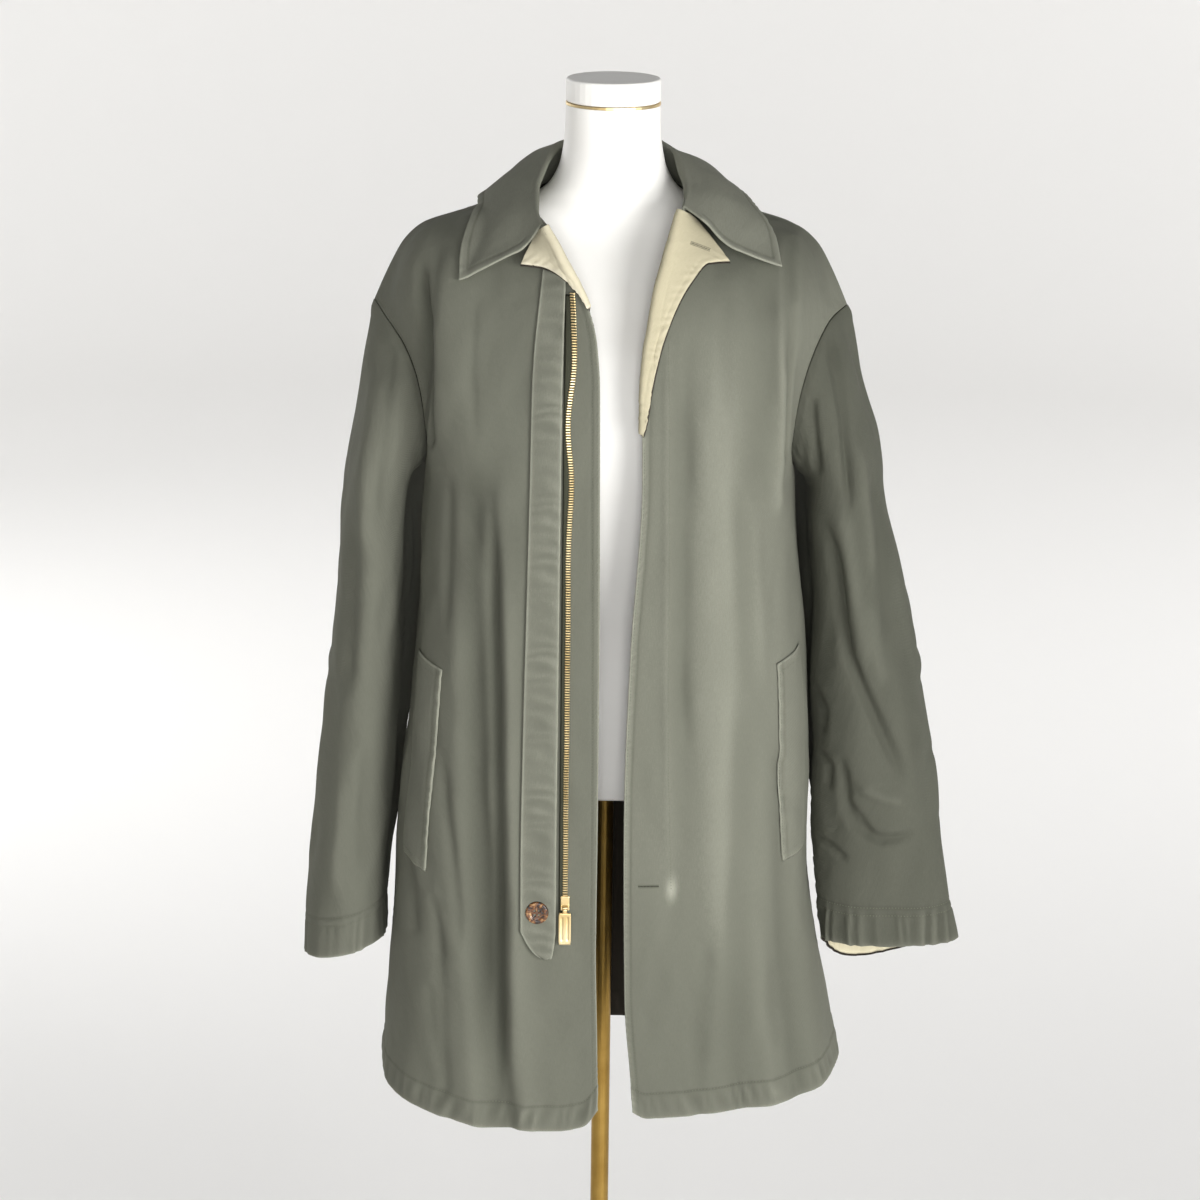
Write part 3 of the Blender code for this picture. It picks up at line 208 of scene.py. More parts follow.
TURNED = LAPEL_COLUMNS + ROLL_COLUMNS  # columns of a lapelled panel before its roll line

# Folds of a panel, by their distance from the front edge or from the middle of the back at top and foot. A
# depth below 0 is a ridge.
FOLDS = {
    ("front", LEFT): table(
        "from_top from_foot z_top z_foot width depth",
        (193, 190, 1330, 1160, 9, 10),
        (125, 110, 1000, 440, 15, 4.5),
        (150, 135, 1050, 440, 13, -4),
        (85, 82, 760, 440, 14, -3.5),
        (101, 99, 620, 440, 6, 2.8),
        (170, 166, 700, 440, 7, 2.2),
    ),
    ("front", RIGHT): table(
        "from_top from_foot z_top z_foot width depth",
        (142, 150, 1310, 1100, 9, -4),
        (165, 165, 1330, 1150, 9, 5),
        (118, 113, 950, 440, 15, 4),
        (172, 182, 900, 440, 15, 5),
        (72, 70, 640, 440, 7, 2),
        (142, 146, 720, 440, 8, -2.2),
    ),
    ("back", LEFT): table(
        "from_top from_foot z_top z_foot width depth",
        (150, 165, 1200, 440, 18, 7),
        (70, 85, 1000, 440, 18, 6),
        (108, 118, 900, 440, 9, -3),
        (30, 26, 700, 440, 8, 2.2),
    ),
    ("back", RIGHT): table(
        "from_top from_foot z_top z_foot width depth",
        (140, 150, 1220, 440, 17, 8),
        (50, 70, 900, 440, 19, 6),
        (98, 106, 840, 440, 8, -2.6),
        (178, 182, 760, 440, 7, 2.2),
    ),
}


def column(rows, name, at):
    """One column of a table at any places, as a smooth curve that never overshoots its rows."""
    keys, values = rows[next(iter(rows))], rows[name]
    steps = np.diff(keys)
    slopes = np.diff(values) / steps
    same_way = slopes[1:] * slopes[:-1] > 0
    total = np.where(same_way, slopes[1:] + slopes[:-1], 1.0)
    inner = np.where(same_way, 2 * slopes[1:] * slopes[:-1] / total, 0.0)
    tangents = np.concatenate([slopes[:1], inner, slopes[-1:]])
    at = np.clip(np.asarray(at, float), keys[0], keys[-1])
    i = np.clip(np.searchsorted(keys, at, side="right") - 1, 0, len(steps) - 1)
    t = (at - keys[i]) / steps[i]
    start = values[i] * (1 + 2 * t) * (1 - t) ** 2 + tangents[i] * steps[i] * t * (1 - t) ** 2
    return start + values[i + 1] * t * t * (3 - 2 * t) - tangents[i + 1] * steps[i] * t * t * (1 - t)


def columns(rows, names, at):
    return np.stack([column(rows, name, at) for name in names.split()], axis=-1)


def smoothstep(t):
    t = np.clip(t, 0.0, 1.0)
    return t * t * (3 - 2 * t)


def unit(vectors):
    return vectors / np.maximum(np.linalg.norm(vectors, axis=-1, keepdims=True), 1e-12)


def run_of(path):
    """Distance along a path from its start to each of its points."""
    return np.concatenate([[0.0], np.cumsum(np.linalg.norm(np.diff(path, axis=0), axis=1))])


def spread(path, shares):
    """Points at the given shares of a dense path's length."""
    run = run_of(path)
    return np.stack([np.interp(shares * run[-1], run, path[:, k]) for k in range(path.shape[1])], axis=-1)


def body_section(side, half, z, shares):
    """Points (x, y) across half the body at height z, on its front or its back."""
    body = BODY[side]
    if half == "front":
        start = columns(EDGE[side], "x y", z)
        squareness = FRONT_SQUARENESS
    else:
        start = np.array([0.0, column(body, "back", z)])
        squareness = BACK_SQUARENESS
    side_x = side * column(body, "side", z)
    turn = np.linspace(0, math.pi / 2, 181)
    x = start[0] + (side_x - start[0]) * np.sin(turn) ** (2 / squareness)
    y = start[1] * np.cos(turn) ** (2 / squareness)
    return spread(np.stack([x, y], axis=-1), shares)


def hem_height(side, half, shares, width):
    """The hem across a panel, rounded up at the corner of a front."""
    if half == "back":
        return BACK_HEM + (column(HEM[side], "z", 1.0) - BACK_HEM) * smoothstep(shares) ** 2
    corner = HEM_CORNER[side]
    from_corner = np.clip(corner - shares * width, 0.0, corner)
    return column(HEM[side], "z", shares) + corner - np.sqrt(corner**2 - from_corner**2)


def neckline(side, half, shares):
    """The neckline up to the neck point: from the collar's front end, or from the middle of the back."""
    x, y, z = NECK_POINT
    if half == "back":
        turn = shares * math.pi / 2
        depth, height = NECK_BACK
        sideways, backwards = side * x * np.sin(turn), y + (depth - y) * np.cos(turn)
        return np.stack([sideways, backwards, z + (height - z) * np.cos(turn) ** 2], axis=-1)
    start = columns(EDGE[side], "x y z", EDGE[side]["z"][-1])
    end = np.array([side * x, y, z])
    bow = NECK_SWEEP * abs(end[0] - start[0]) * np.sin(math.pi * shares)
    return start + (end - start) * shares[:, None] + np.outer(bow, (side, 0, -0.4))


def armhole(side, half, shares):
    """The armhole seam from the underarm up to the shoulder."""
    rows = ARMHOLE[side] if half == "front" else BACK_ARMHOLE
    dense = columns(rows, "x y z", np.linspace(1, 0, 241)) * (side, 1, 1)
    dense[0, 0] = side * column(BODY[side], "side", ARMPIT)
    return spread(dense, shares)


def panel_grid(side, half, neck_share):
    """Half of the body's front or back as a grid of points, from the hem over the armpit to the shoulder."""
    to_neck = np.linspace(0, neck_share, NECK_COLUMNS + 1)
    shares = np.concatenate([to_neck, np.linspace(neck_share, 1, SHOULDER_COLUMNS + 1)[1:]])
    width = np.ptp(body_section(side, half, ARMPIT, np.array([0.0, 1.0]))[:, 0])
    hem = hem_height(side, half, shares, width)
    skirt = np.empty((SKIRT_ROWS + 1, len(shares), 3))
    for i, up in enumerate(np.linspace(0, 1, SKIRT_ROWS + 1)):
        for j, z in enumerate(hem + (ARMPIT - hem) * up):
            skirt[i, j] = (*body_section(side, half, z, shares[j : j + 1])[0], z)
    seam = columns(SHOULDER, "x y z", (shares - neck_share) / (1 - neck_share)) * (side, 1, 1)
    at_neck = neckline(side, half, np.clip(shares / neck_share, 0, 1))
    top = np.where((shares <= neck_share)[:, None], at_neck, seam)
    turn = np.linspace(0, math.pi / 2, 181)[:, None]
    rise = np.sin(turn) ** (2 / YOKE_FULLNESS)
    over = 1 - np.cos(turn) ** (2 / YOKE_FULLNESS)
    ups = np.linspace(0, 1, YOKE_ROWS + 1)
    yoke = np.empty((YOKE_ROWS + 1, len(shares), 3))
    for j in range(len(shares)):
        foot = skirt[-1, j]
        yoke[:, j] = spread(foot + (top[j] - foot) * np.hstack([over, over, rise]), ups)
    if half == "front":
        heights = np.linspace(ARMPIT, EDGE[side]["z"][-1], 241)
        edge = spread(columns(EDGE[side], "x y z", heights), ups)
        yoke += (edge - yoke[:, 0])[:, None] * (1 - smoothstep(shares / 0.55))[None, :, None]
    seam = armhole(side, half, ups)
    yoke += (seam - yoke[:, -1])[:, None] * smoothstep((shares - 0.35) / 0.65)[None, :, None]
    return np.concatenate([skirt, yoke[1:]])


def places(grid, axis, pitch, seams=()):
    """Places along one way of a grid, as indices: one pitch apart, and closer where the cloth turns at both
    ends and beside rows of stitches, given by their distance from the start, or below 0 from the end."""
    steps = np.linalg.norm(np.diff(grid, axis=axis), axis=2).mean(axis=1 - axis)
    run = np.concatenate([[0.0], np.cumsum(steps)])
    end = np.array([0.0, 0.0004, 0.0010, 0.0019])
    beside = np.array([-0.0022, -0.0011, 0, 0.0011, 0.0022])
    at = np.linspace(0.0036, run[-1] - 0.0036, round(run[-1] / pitch))
    for seam in seams:
        seam = seam % run[-1]
        at = np.concatenate([at[abs(at - seam) > 0.0030], seam + beside])
    return np.interp(np.concatenate([end, np.sort(at), (run[-1] - end)[::-1]]), run, np.arange(len(run)))


def finer(grid, row_at, column_at):
    """The grid at other places, as a smooth surface through its points."""
    for axis, at in ((0, row_at), (1, column_at)):
        lines = np.moveaxis(grid, axis, 0)
        lines = np.concatenate([2 * lines[:1] - lines[1:2], lines, 2 * lines[-1:] - lines[-2:-1]])
        i = np.clip(np.floor(at).astype(int), 0, len(lines) - 4)
        t = (at - i)[:, None, None]
        a, b, c, d = (lines[i + k] for k in range(4))
        smooth = b + 0.5 * t * (c - a + t * (2 * a - 5 * b + 4 * c - d + t * (3 * (b - c) + d - a)))
        grid = np.moveaxis(smooth, 0, axis)
    return grid


def grid_normals(grid, outwards, ring=False):
    """Directions off a grid of points. A ring's last column joins its first."""
    up = np.gradient(grid, axis=0)
    along = (np.roll(grid, -1, axis=1) - np.roll(grid, 1, axis=1)) if ring else np.gradient(grid, axis=1)
    return outwards * unit(np.cross(along, up))


def across_of(grid):
    """Distance of each point from the first column, along its row."""
    steps = np.linalg.norm(np.diff(grid, axis=1), axis=2)
    return np.concatenate([np.zeros((len(grid), 1)), np.cumsum(steps, axis=1)], axis=1)


def up_of(grid):
    return across_of(grid.transpose(1, 0, 2)).T


def fold_depth(rows, across, z):
    """How far the folds of a panel move its points inwards."""
    depth = np.zeros_like(z)
    for at_top, at_foot, z_top, z_foot, width, deep in zip(*rows.values()):
        up = np.clip((z - z_foot) / (z_top - z_foot), 0, 1)
        centre = at_foot + (at_top - at_foot) * up
        strength = smoothstep((z_top - z) / 0.12) * smoothstep((z - z_foot) / 0.02 + 1)
        depth += deep * strength * np.exp(-(((across - centre) / width) ** 2))
    return depth * smoothstep(np.minimum(across, across[:, -1:] - across) / 0.02)


def uneven(along, seed):
    """A smooth, irregular number from -1 to 1 along a seam."""
    waves = np.random.default_rng(seed).uniform(0, 6.28, 4)
    return sum(np.sin(along * rate + turn) for rate, turn in zip((47, 81, 133, 211), waves)) / 2.6


def puckers(along, beside, size, length, reach, seed, lean=0.0):
    """Ripples that a seam draws across itself: along its length, and dying away on both sides of it."""
    phase = 2 * math.pi * (along + lean * beside) / length + 2.6 * uneven(along, seed)
    strength = (0.55 + 0.45 * uneven(along, seed + 1)) * np.exp(-((beside / reach) ** 2))
    return size * strength * np.sin(phase)


def groove(beside, depth=0.0007, width=0.0013):
    """A row of stitches pulls the cloth in; counted into the wear and shade, it paints the shade in that
    groove as a dark line.
    """
    return -depth * np.exp(-((beside / width) ** 2))


def hem_ripples(across, up, length, seed):
    """The ripples of the folded band at a hem."""
    return puckers(across, up - 0.015, size=0.0016, length=length, reach=0.012, seed=seed, lean=0.25)


def seam_ripples(across, up, from_side, from_top, seed):
    """The ripples along the side seam and the shoulder seam of a panel."""
    like = {"size": 0.0006, "length": 0.0150, "reach": 0.008, "lean": 0.3}
    ripples = puckers(up, from_side - 0.006, seed=seed, **like)
    ripples += puckers(across, from_top - 0.006, seed=seed + 10, **like)
    return ripples * smoothstep(np.minimum(from_side, from_top) / 0.006)


def rubbed(edge, much, reach=0.0022):
    """How much paler the dye is rubbed along an edge, by the distance from it."""
    return much * np.exp(-edge / reach)


def rumpled(points, size, seed):
    """The unevenness that washing leaves in cotton: broad, low, and longer up the cloth than round it."""
    rng = np.random.default_rng(seed)
    total = np.zeros(points.shape[:-1])
    for _ in range(30):
        length = rng.uniform(0.022, 0.090)
        way, climb = rng.uniform(0, math.pi), rng.normal(0.0, 0.22)
        rate = 2 * math.pi / length
        across = points[..., 0] * math.cos(way) + points[..., 1] * math.sin(way)
        wave = np.sin(rate * (across + climb * points[..., 2]) + rng.uniform(0, 6.28))
        slow = np.sin(rate * 0.27 * (points[..., 2] + 0.4 * across) + rng.uniform(0, 6.28))
        total += length * wave * (0.5 + 0.5 * slow)
    return size * total / 0.16


def creased(grid, normals, rows, facing=-1, from_side=False):
    """Creases pressed into the cloth. Each row is a width, a depth and the places (x, z) the crease runs
    through, as seen from the front, or from behind where facing is 1. Seen from a side, the places are (y, z)
    and facing is that side's sign. Rows are in millimetres, and a depth below 0 is a ridge."""
    level = grid[..., 1 if from_side else 0]
    towards = facing * normals[..., 0 if from_side else 1]
    depth = np.zeros(grid.shape[:2])
    for row in rows:
        width, deep, *path = np.array(row) / 1000
        path = np.reshape(path, (-1, 2))
        ends = run_of(path)
        nearest = np.full(grid.shape[:2], 9.0)
        where = np.zeros(grid.shape[:2])
        for (x0, z0), (x1, z1), begin in zip(path[:-1], path[1:], ends):
            dx, dz = x1 - x0, z1 - z0
            t = np.clip(((level - x0) * dx + (grid[..., 2] - z0) * dz) / (dx * dx + dz * dz), 0, 1)
            away = np.hypot(level - x0 - t * dx, grid[..., 2] - z0 - t * dz)
            closer = away < nearest
            nearest = np.where(closer, away, nearest)
            where = np.where(closer, (begin + t * math.hypot(dx, dz)) / ends[-1], where)
        strength = smoothstep(0.12 + where / 0.22) * smoothstep(0.12 + (1 - where) / 0.22)
        depth += deep * strength * np.exp(-((nearest / width) ** 2)) * smoothstep(towards / 0.35)
    return depth


def grid_faces(rows, width, ring, first=0):
    """Four-cornered faces between the points of a grid."""
    spans = width if ring else width - 1
    i, j = np.meshgrid(np.arange(rows - 1), np.arange(spans), indexing="ij")
    a, b = first + i * width + j, first + i * width + (j + 1) % width
    return np.stack([a, b, b + width, a + width], axis=-1).reshape(-1, 4)


def placed(name, data):
    """A new object of this data, put in the scene."""
    made = bpy.data.objects.new(name, data)
    bpy.context.scene.collection.objects.link(made)
    return made


def lay_flat(mesh, uv):
    """Gives a mesh its UVs, which are lengths in metres, from those of its points."""
    corner_points = np.empty(len(mesh.loops), np.int32)
    mesh.loops.foreach_get("vertex_index", corner_points)
    mesh.uv_layers.new(name="cloth").data.foreach_set("uv", uv[corner_points].astype(np.float32).ravel())


def cloth_piece(name, face, normals, materials, thick=CLOTH, wear_and_shade=None, ring=False):
    """A wall of cloth under the face that shows, with round edges, in one mesh. Its UVs are lengths. Where
    there are two materials, the second is on the inside."""
    rows, width = face.shape[:2]
    if ring:
        closed = np.concatenate([face, face[:, :1]], axis=1)
        across, up = across_of(closed)[:, :-1], up_of(closed)[:, :-1]
        edge = np.minimum(up, up[-1:] - up)
    else:
        across, up = across_of(face), up_of(face)
        edge = np.minimum(np.minimum(up, up[-1:] - up), np.minimum(across, across[:, -1:] - across))
    radius = thick / 2
    sunk = radius - np.sqrt(radius**2 - np.clip(radius - edge, 0, radius) ** 2)
    outer = face - sunk[..., None] * normals
    inner = face - (thick - sunk)[..., None] * normals
    points = np.concatenate([outer.reshape(-1, 3), inner.reshape(-1, 3)])
    shown = grid_faces(rows, width, ring)
    middle = shown[len(shown) // 2]
    a, b, c = outer.reshape(-1, 3)[middle[:3]]
    if np.cross(b - a, c - a) @ normals.reshape(-1, 3)[middle[0]] < 0:
        shown = shown[:, ::-1]
    faces = np.concatenate([shown, shown[:, ::-1] + rows * width])
    inside = np.repeat([0, 1], len(shown))
    uv = np.tile(np.stack([across, up], axis=-1).reshape(-1, 2), (2, 1))
    wear_and_shade_values = np.tile(np.zeros(rows * width) if wear_and_shade is None else wear_and_shade.ravel(), 2)

    _, first, index = np.unique(np.round(points, 6), axis=0, return_index=True, return_inverse=True)
    kept, sides = [], []
    for face_corners, at in zip(index.reshape(-1)[faces].tolist(), inside.tolist()):
        corners = [corner for k, corner in enumerate(face_corners) if corner != face_corners[k - 1]]
        if len(set(corners)) > 2:
            kept.append(corners)
            sides.append(at)
    mesh = bpy.data.meshes.new(name)
    mesh.from_pydata(points[first].tolist(), [], kept)
    lay_flat(mesh, uv[first])
    mesh.attributes.new("wear_and_shade", "FLOAT", "POINT").data.foreach_set("value", wear_and_shade_values[first].astype(np.float32))
    for material in materials:
        mesh.materials.append(material)
    if len(materials) > 1:
        mesh.polygons.foreach_set("material_index", np.array(sides, np.int32))
    mesh.shade_smooth()
    return placed(name, mesh)


def sewn_in(piece, stands_for):
    """A cloth piece takes the place of its solid, and moves with the coat."""
    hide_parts(stands_for)
    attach(piece, "coat_and_form")


class Surface:
    """Grids as one surface of triangles, to lay other pieces on."""

    def __init__(self, *grids):
        self.points = np.concatenate([grid.reshape(-1, 3) for grid in grids])
        faces, first = [], 0
        for grid in grids:
            faces.append(grid_faces(*grid.shape[:2], False, first))
            first += grid.shape[0] * grid.shape[1]
        self.tree = BVHTree.FromPolygons(self.points.tolist(), np.concatenate(faces).tolist())

    def seen_from_front(self, x, z):
        where, normal, _, _ = self.tree.ray_cast(Vector((x, -1.0, z)), Vector((0, 1, 0)))
        if where is None:
            where, normal, _, _ = self.tree.find_nearest(Vector((x, -0.14, z)))
        return np.array(where), np.array(normal) * (-1 if normal.y > 0 else 1)

    def height(self, point, outwards):
        """How far a point stands off the surface, measured outwards. None where nothing lies under it."""
        away = Vector(outwards)
        hit = self.tree.ray_cast(Vector(point) + 0.03 * away, -away, 0.06)
        return None if hit[0] is None else (Vector(point) - hit[0]).dot(away)


def feed(sockets, **values):
    """Sets sockets by name to a number or a colour, or links them to another node's output."""
    for name, value in values.items():
        socket = sockets[name.replace("_", " ")]
        if isinstance(value, bpy.types.NodeSocket):
            socket.id_data.links.new(value, socket)
        else:
            socket.default_value = value


def node(tree, kind, settings=(), output=0, **values):
    """Adds a node with its settings and inputs, and returns one of its outputs."""
    made = tree.nodes.new(kind)
    for name, value in dict(settings).items():
        setattr(made, name, value)
    feed(made.inputs, **values)
    return made.outputs[output]


def scaled(tree, value, by, plus):
    """value * by + plus."""
    made = tree.nodes.new("ShaderNodeMath")
    made.operation = "MULTIPLY_ADD"
    tree.links.new(value, made.inputs[0])
    for socket, amount in zip(made.inputs[1:], (by, plus)):
        if isinstance(amount, bpy.types.NodeSocket):
            tree.links.new(amount, socket)
        else:
            socket.default_value = amount
    return made.outputs[0]


def linear(code):
    """An sRGB hex colour as linear light."""
    parts = [int(code[k : k + 2], 16) / 255 for k in (1, 3, 5)]
    return (*[p / 12.92 if p <= 0.04045 else ((p + 0.055) / 1.055) ** 2.4 for p in parts], 1.0)


def ramp(tree, value, first, last, *between):
    """A colour by a value, from places and sRGB hex colours."""
    made = node(tree, "ShaderNodeValToRGB", Fac=value)
    stops = made.node.color_ramp.elements
    for stop, (position, code) in zip(stops, (first, last)):
        stop.position, stop.color = position, linear(code)
    for position, code in between:
        stops.new(position).color = linear(code)
    return made


def new_material(name):
    """A new material, with its node tree and the sockets of its shader."""
    material = bpy.data.materials.new(name)
    material.use_nodes = True
    return material, material.node_tree, material.node_tree.nodes["Principled BSDF"].inputs


RIB_PITCH = 0.0012  # between the twill's diagonal ribs, as drawn


def cotton_twill(name, dark, mid, light, cloud=0.10):
    """Garment-washed cotton twill: matt, its dye rubbed paler along edges and ridges by wear, a little
    cloudy, and flecked along the warp. From the same wear-and-shade attribute it also takes painted shade in
    folds, troughs and stitch grooves, and painted highlight on ridges and crests. Its real ribs are 0.5 mm
    apart, too fine to show, and are drawn wider."""
    material, tree, shader = new_material(name)
    feed(shader, Roughness=0.93, IOR=1.45, Specular_IOR_Level=0.16)
    feed(shader, Sheen_Weight=0.12, Sheen_Roughness=0.55, Sheen_Tint=linear(light))
    uv = node(tree, "ShaderNodeUVMap", {"uv_map": "cloth"})
    long_way = node(tree, "ShaderNodeMapping", Vector=uv, Scale=(34.0, 11.0, 1.0))
    cloudy = node(tree, "ShaderNodeTexNoise", Vector=long_way, Scale=1.0, Detail=4.0, Roughness=0.55)
    warp = node(tree, "ShaderNodeMapping", Vector=uv, Scale=(1500.0, 160.0, 1.0))
    threads = node(tree, "ShaderNodeTexNoise", Vector=warp, Scale=1.0, Detail=2.0)
    fuzz = node(tree, "ShaderNodeTexNoise", Vector=uv, Scale=700.0, Detail=3.0, Roughness=0.7)
    turned = node(tree, "ShaderNodeMapping", Vector=uv, Rotation=(0, 0, math.radians(-52)))
    bands = {"wave_type": "BANDS", "bands_direction": "X"}
    rate = 2 * math.pi / (20 * RIB_PITCH)
    ribs = node(tree, "ShaderNodeTexWave", bands, Vector=turned, Scale=rate, Distortion=0.8, Detail=1.0)
    wear_and_shade = node(tree, "ShaderNodeAttribute", {"attribute_name": "wear_and_shade"}, output="Fac")
    tone = scaled(tree, wear_and_shade, 0.42, 0.5 - cloud / 2 - 0.13)
    for grain, strength in ((cloudy, cloud), (threads, 0.14), (fuzz, 0.12)):
        tone = scaled(tree, grain, strength, tone)
    feed(shader, Base_Color=ramp(tree, tone, (0.0, dark), (1.0, light), (0.5, mid)))
    soft = node(tree, "ShaderNodeTexNoise", Vector=uv, Scale=70.0, Detail=2.0, Roughness=0.5)
    crumple = node(tree, "ShaderNodeBump", Strength=0.22, Distance=0.004, Height=soft)
    weave = scaled(tree, ribs, 0.6, fuzz)
    bump = node(tree, "ShaderNodeBump", Strength=0.30, Distance=0.0006, Height=weave, Normal=crumple)
    feed(shader, Normal=bump)
    return material


# Even and matt olive, paler where it is rubbed; warm pale tan; and a lining that is nearly black beside both,
# partly its own dark colour and partly painted shade for the inside of the coat
OLIVE_TWILL = cotton_twill("olive cotton twill, garment-washed", "#4b4c43", "#6b6c61", "#9c9d8f")
TAN_TWILL = cotton_twill("tan cotton twill, woven and washed", "#9a937a", "#c7bfa4", "#e2dcc8", cloud=0.18)
SHADED_DARK_LINING = cotton_twill("dark cotton lining, plain woven, with painted shade", "#211e19", "#2f2b25", "#48433d")

# The back's own sizes, which the sections and the neckline of both panels need
BACK_HEM = 0.467
BACK_SQUARENESS = 2.5
BACK_NECK_SHARE = 0.32
NECK_BACK = (0.0680, 1.3950)  # y and z of the neckline in the middle of the back
BACK_ARMHOLE = table(
    "share x y z",
    (0, 237, 0, 1276),
    (0.18, 218, 36, 1264),
    (0.36, 202, 62, 1240),
    (0.52, 192, 74, 1208),
    (0.68, 186, 74, 1172),
    (0.85, 183, 50, 1133),
    (1, 185.5, 0, 1110),
)

HEM_BAND = 0.028  # height of the folded band at the hem, up to its row of stitches
HEM_FOLD = 0.0007  # how far the band stands out
EDGE_ROW = 0.0075  # the second row of stitches beside a front edge
# How light or dark each panel is drawn all over, where 0 is the twill's middle colour and below 0 is darker:
# painted light and shade for the light falling differently on each panel, darkest as painted shade on the
# right sleeve
PANEL_TONE_AND_SHADE = {
    ("front", LEFT): -0.28,
    ("front", RIGHT): 0.00,
    ("sleeve", LEFT): -0.32,
    ("sleeve", RIGHT): -1.05,
    ("facing", LEFT): 0.25,
    ("facing", RIGHT): -0.62,
}
CREST_WEAR_AND_SHADE = 260  # how much paler a ripple's crest and how much darker its trough, by its height in metres: partly rubbed wear, partly painted highlight on crests and painted shade in troughs
FOLD_SHADE = 65  # and how much darker a fold is painted, by its depth, as painted shade, with painted highlight on a ridge
SPOT = (0.0680, 0.7090, 0.0050, 0.0120)  # x, z and half sizes of a spot rubbed pale by a hard edge inside
SHADED_SHOULDER = (0.75, 1.26, 0.09)  # how much darker the right front is painted above what height, over how much: painted shade on the shoulder
DARK_FOOT = (0.30, 0.76, 0.2)  # and how much darker it is drawn below what height, over how much

# Creases of the fronts, in millimetres: width, depth, then the places each runs through
FRONT_CREASES = {
    LEFT: (
        (6.2, 8.8, -116.9, 1126, -110.1, 964, -107.4, 840.3, -103.6, 693.5, -101.9, 587, -104.4, 470),
        (9, -4.6, -104, 1060, -98, 964, -95.3, 840.3, -91.5, 693.5, -89.8, 587, -92, 470),
        (20, 8.5, -134, 1180, -130, 1000, -127, 800, -122, 620, -120, 490),
        (10, -3, -127.5, 1085.7, -120.7, 902.2, -116.8, 735.5),
        (5, 2.6, -158.9, 1125.5, -159.7, 1044.8, -160.4, 963.4),
        (5.5, 3.2, -165.1, 839.5, -160, 797.9, -152.9, 745.6, -145.7, 677, -144.5, 629.2),
        (6, 3, -199.9, 726, -192.8, 687, -191.8, 639.2),
        (5, 2.2, -172.8, 692.6, -166.7, 655.5, -162.6, 618.3),
        (6, 1.8, -175.6, 596.7, -171.5, 543, -163.3, 499.9),
        (5, 2, -171, 1341.1, -173.9, 1303.8, -176.7, 1262.5),
        (5, 1.6, -132.3, 1304.4, -135.9, 1225.5, -129.7, 1155.9),
        (5.8, 10.5, -188.5, 1330, -187.2, 1301.9, -186.1, 1275.2, -186.1, 1240.2,
         -186.6, 1191.9, -188, 1151.5),
    ),
    RIGHT: (
        (4, -2, 53, 1289.1, 56.6, 1188.3, 58.3, 1047.7, 59.5, 925.2, 62.5, 800.9, 65.5, 711.6),
        (11, 2.6, 70, 1250, 72, 1100, 74, 900, 80, 760),
        (20, -5, 108, 1300, 105, 1150, 112, 950, 118, 750, 125, 550),
        (15, 5, 150, 1330, 152, 1220, 148, 1100),
        (6, 2, 73.1, 1088.3, 75.5, 1007.3, 75.1, 915.1, 84.3, 842.8),
        (9, 2.2, 128.1, 1129.2, 132.5, 1008, 137.6, 905.6),
        (7, -1.6, 145.1, 1109.3, 149.2, 967.4, 154.5, 905.8),
        (5.5, 2.4, 174.7, 844, 182.7, 802.4, 196.4, 771.2),
        (8, 2.2, 103.7, 653.8, 102.9, 589.7, 102.3, 514.3),
        (8, -2, 149.1, 696.8, 153.4, 590.4, 158.6, 536.7),
        (7, 2, 173.6, 633.4, 176, 569.2, 183.1, 526.2),
        (7, 1.5, 116.1, 1189, 112.4, 1278, 115.5, 1317.3),
        (6, -1.8, 164, 1345.3, 166.5, 1278.7, 168.2, 1209.6),
        (5.5, -1.8, 182.5, 1378.7, 184.7, 1328, 183, 1278.9),
        (5.5, 2.4, 173.4, 1357.1, 175, 1288.7, 174.7, 1219.6),
        (7, 1.5, 76.6, 1277.6, 74.3, 1188.5, 77.7, 1108.5),
    ),
}

coarse_fronts = {side: panel_grid(side, "front", NECK_SHARE) for side in (LEFT, RIGHT)}
fronts, lapelled, lapel_normals, front_surfaces = {}, {}, {}, {}
stitch_lines = []  # (points, normals) of each row of stitches, gathered piece by piece


def sew(grid, normals, measure, value, part=np.s_[:], upright=False):
    """Adds a row of stitches where a measure, such as the height over the hem, has one value along each
    column of the grid, or each row of it where the stitches run upright."""
    if upright:
        grid, normals, measure = (each.swapaxes(0, 1) for each in (grid, normals, measure))
    grid, normals, measure = (each[:, part] for each in (grid, normals, measure))
    points, directions = [], []
    for j in range(grid.shape[1]):
        at = np.interp(value, measure[:, j], np.arange(len(measure)))
        i = min(int(at), len(measure) - 2)
        points.append(grid[i, j] + (grid[i + 1, j] - grid[i, j]) * (at - i))
        directions.append(normals[i, j])
    stitch_lines.append((np.array(points), np.array(directions)))


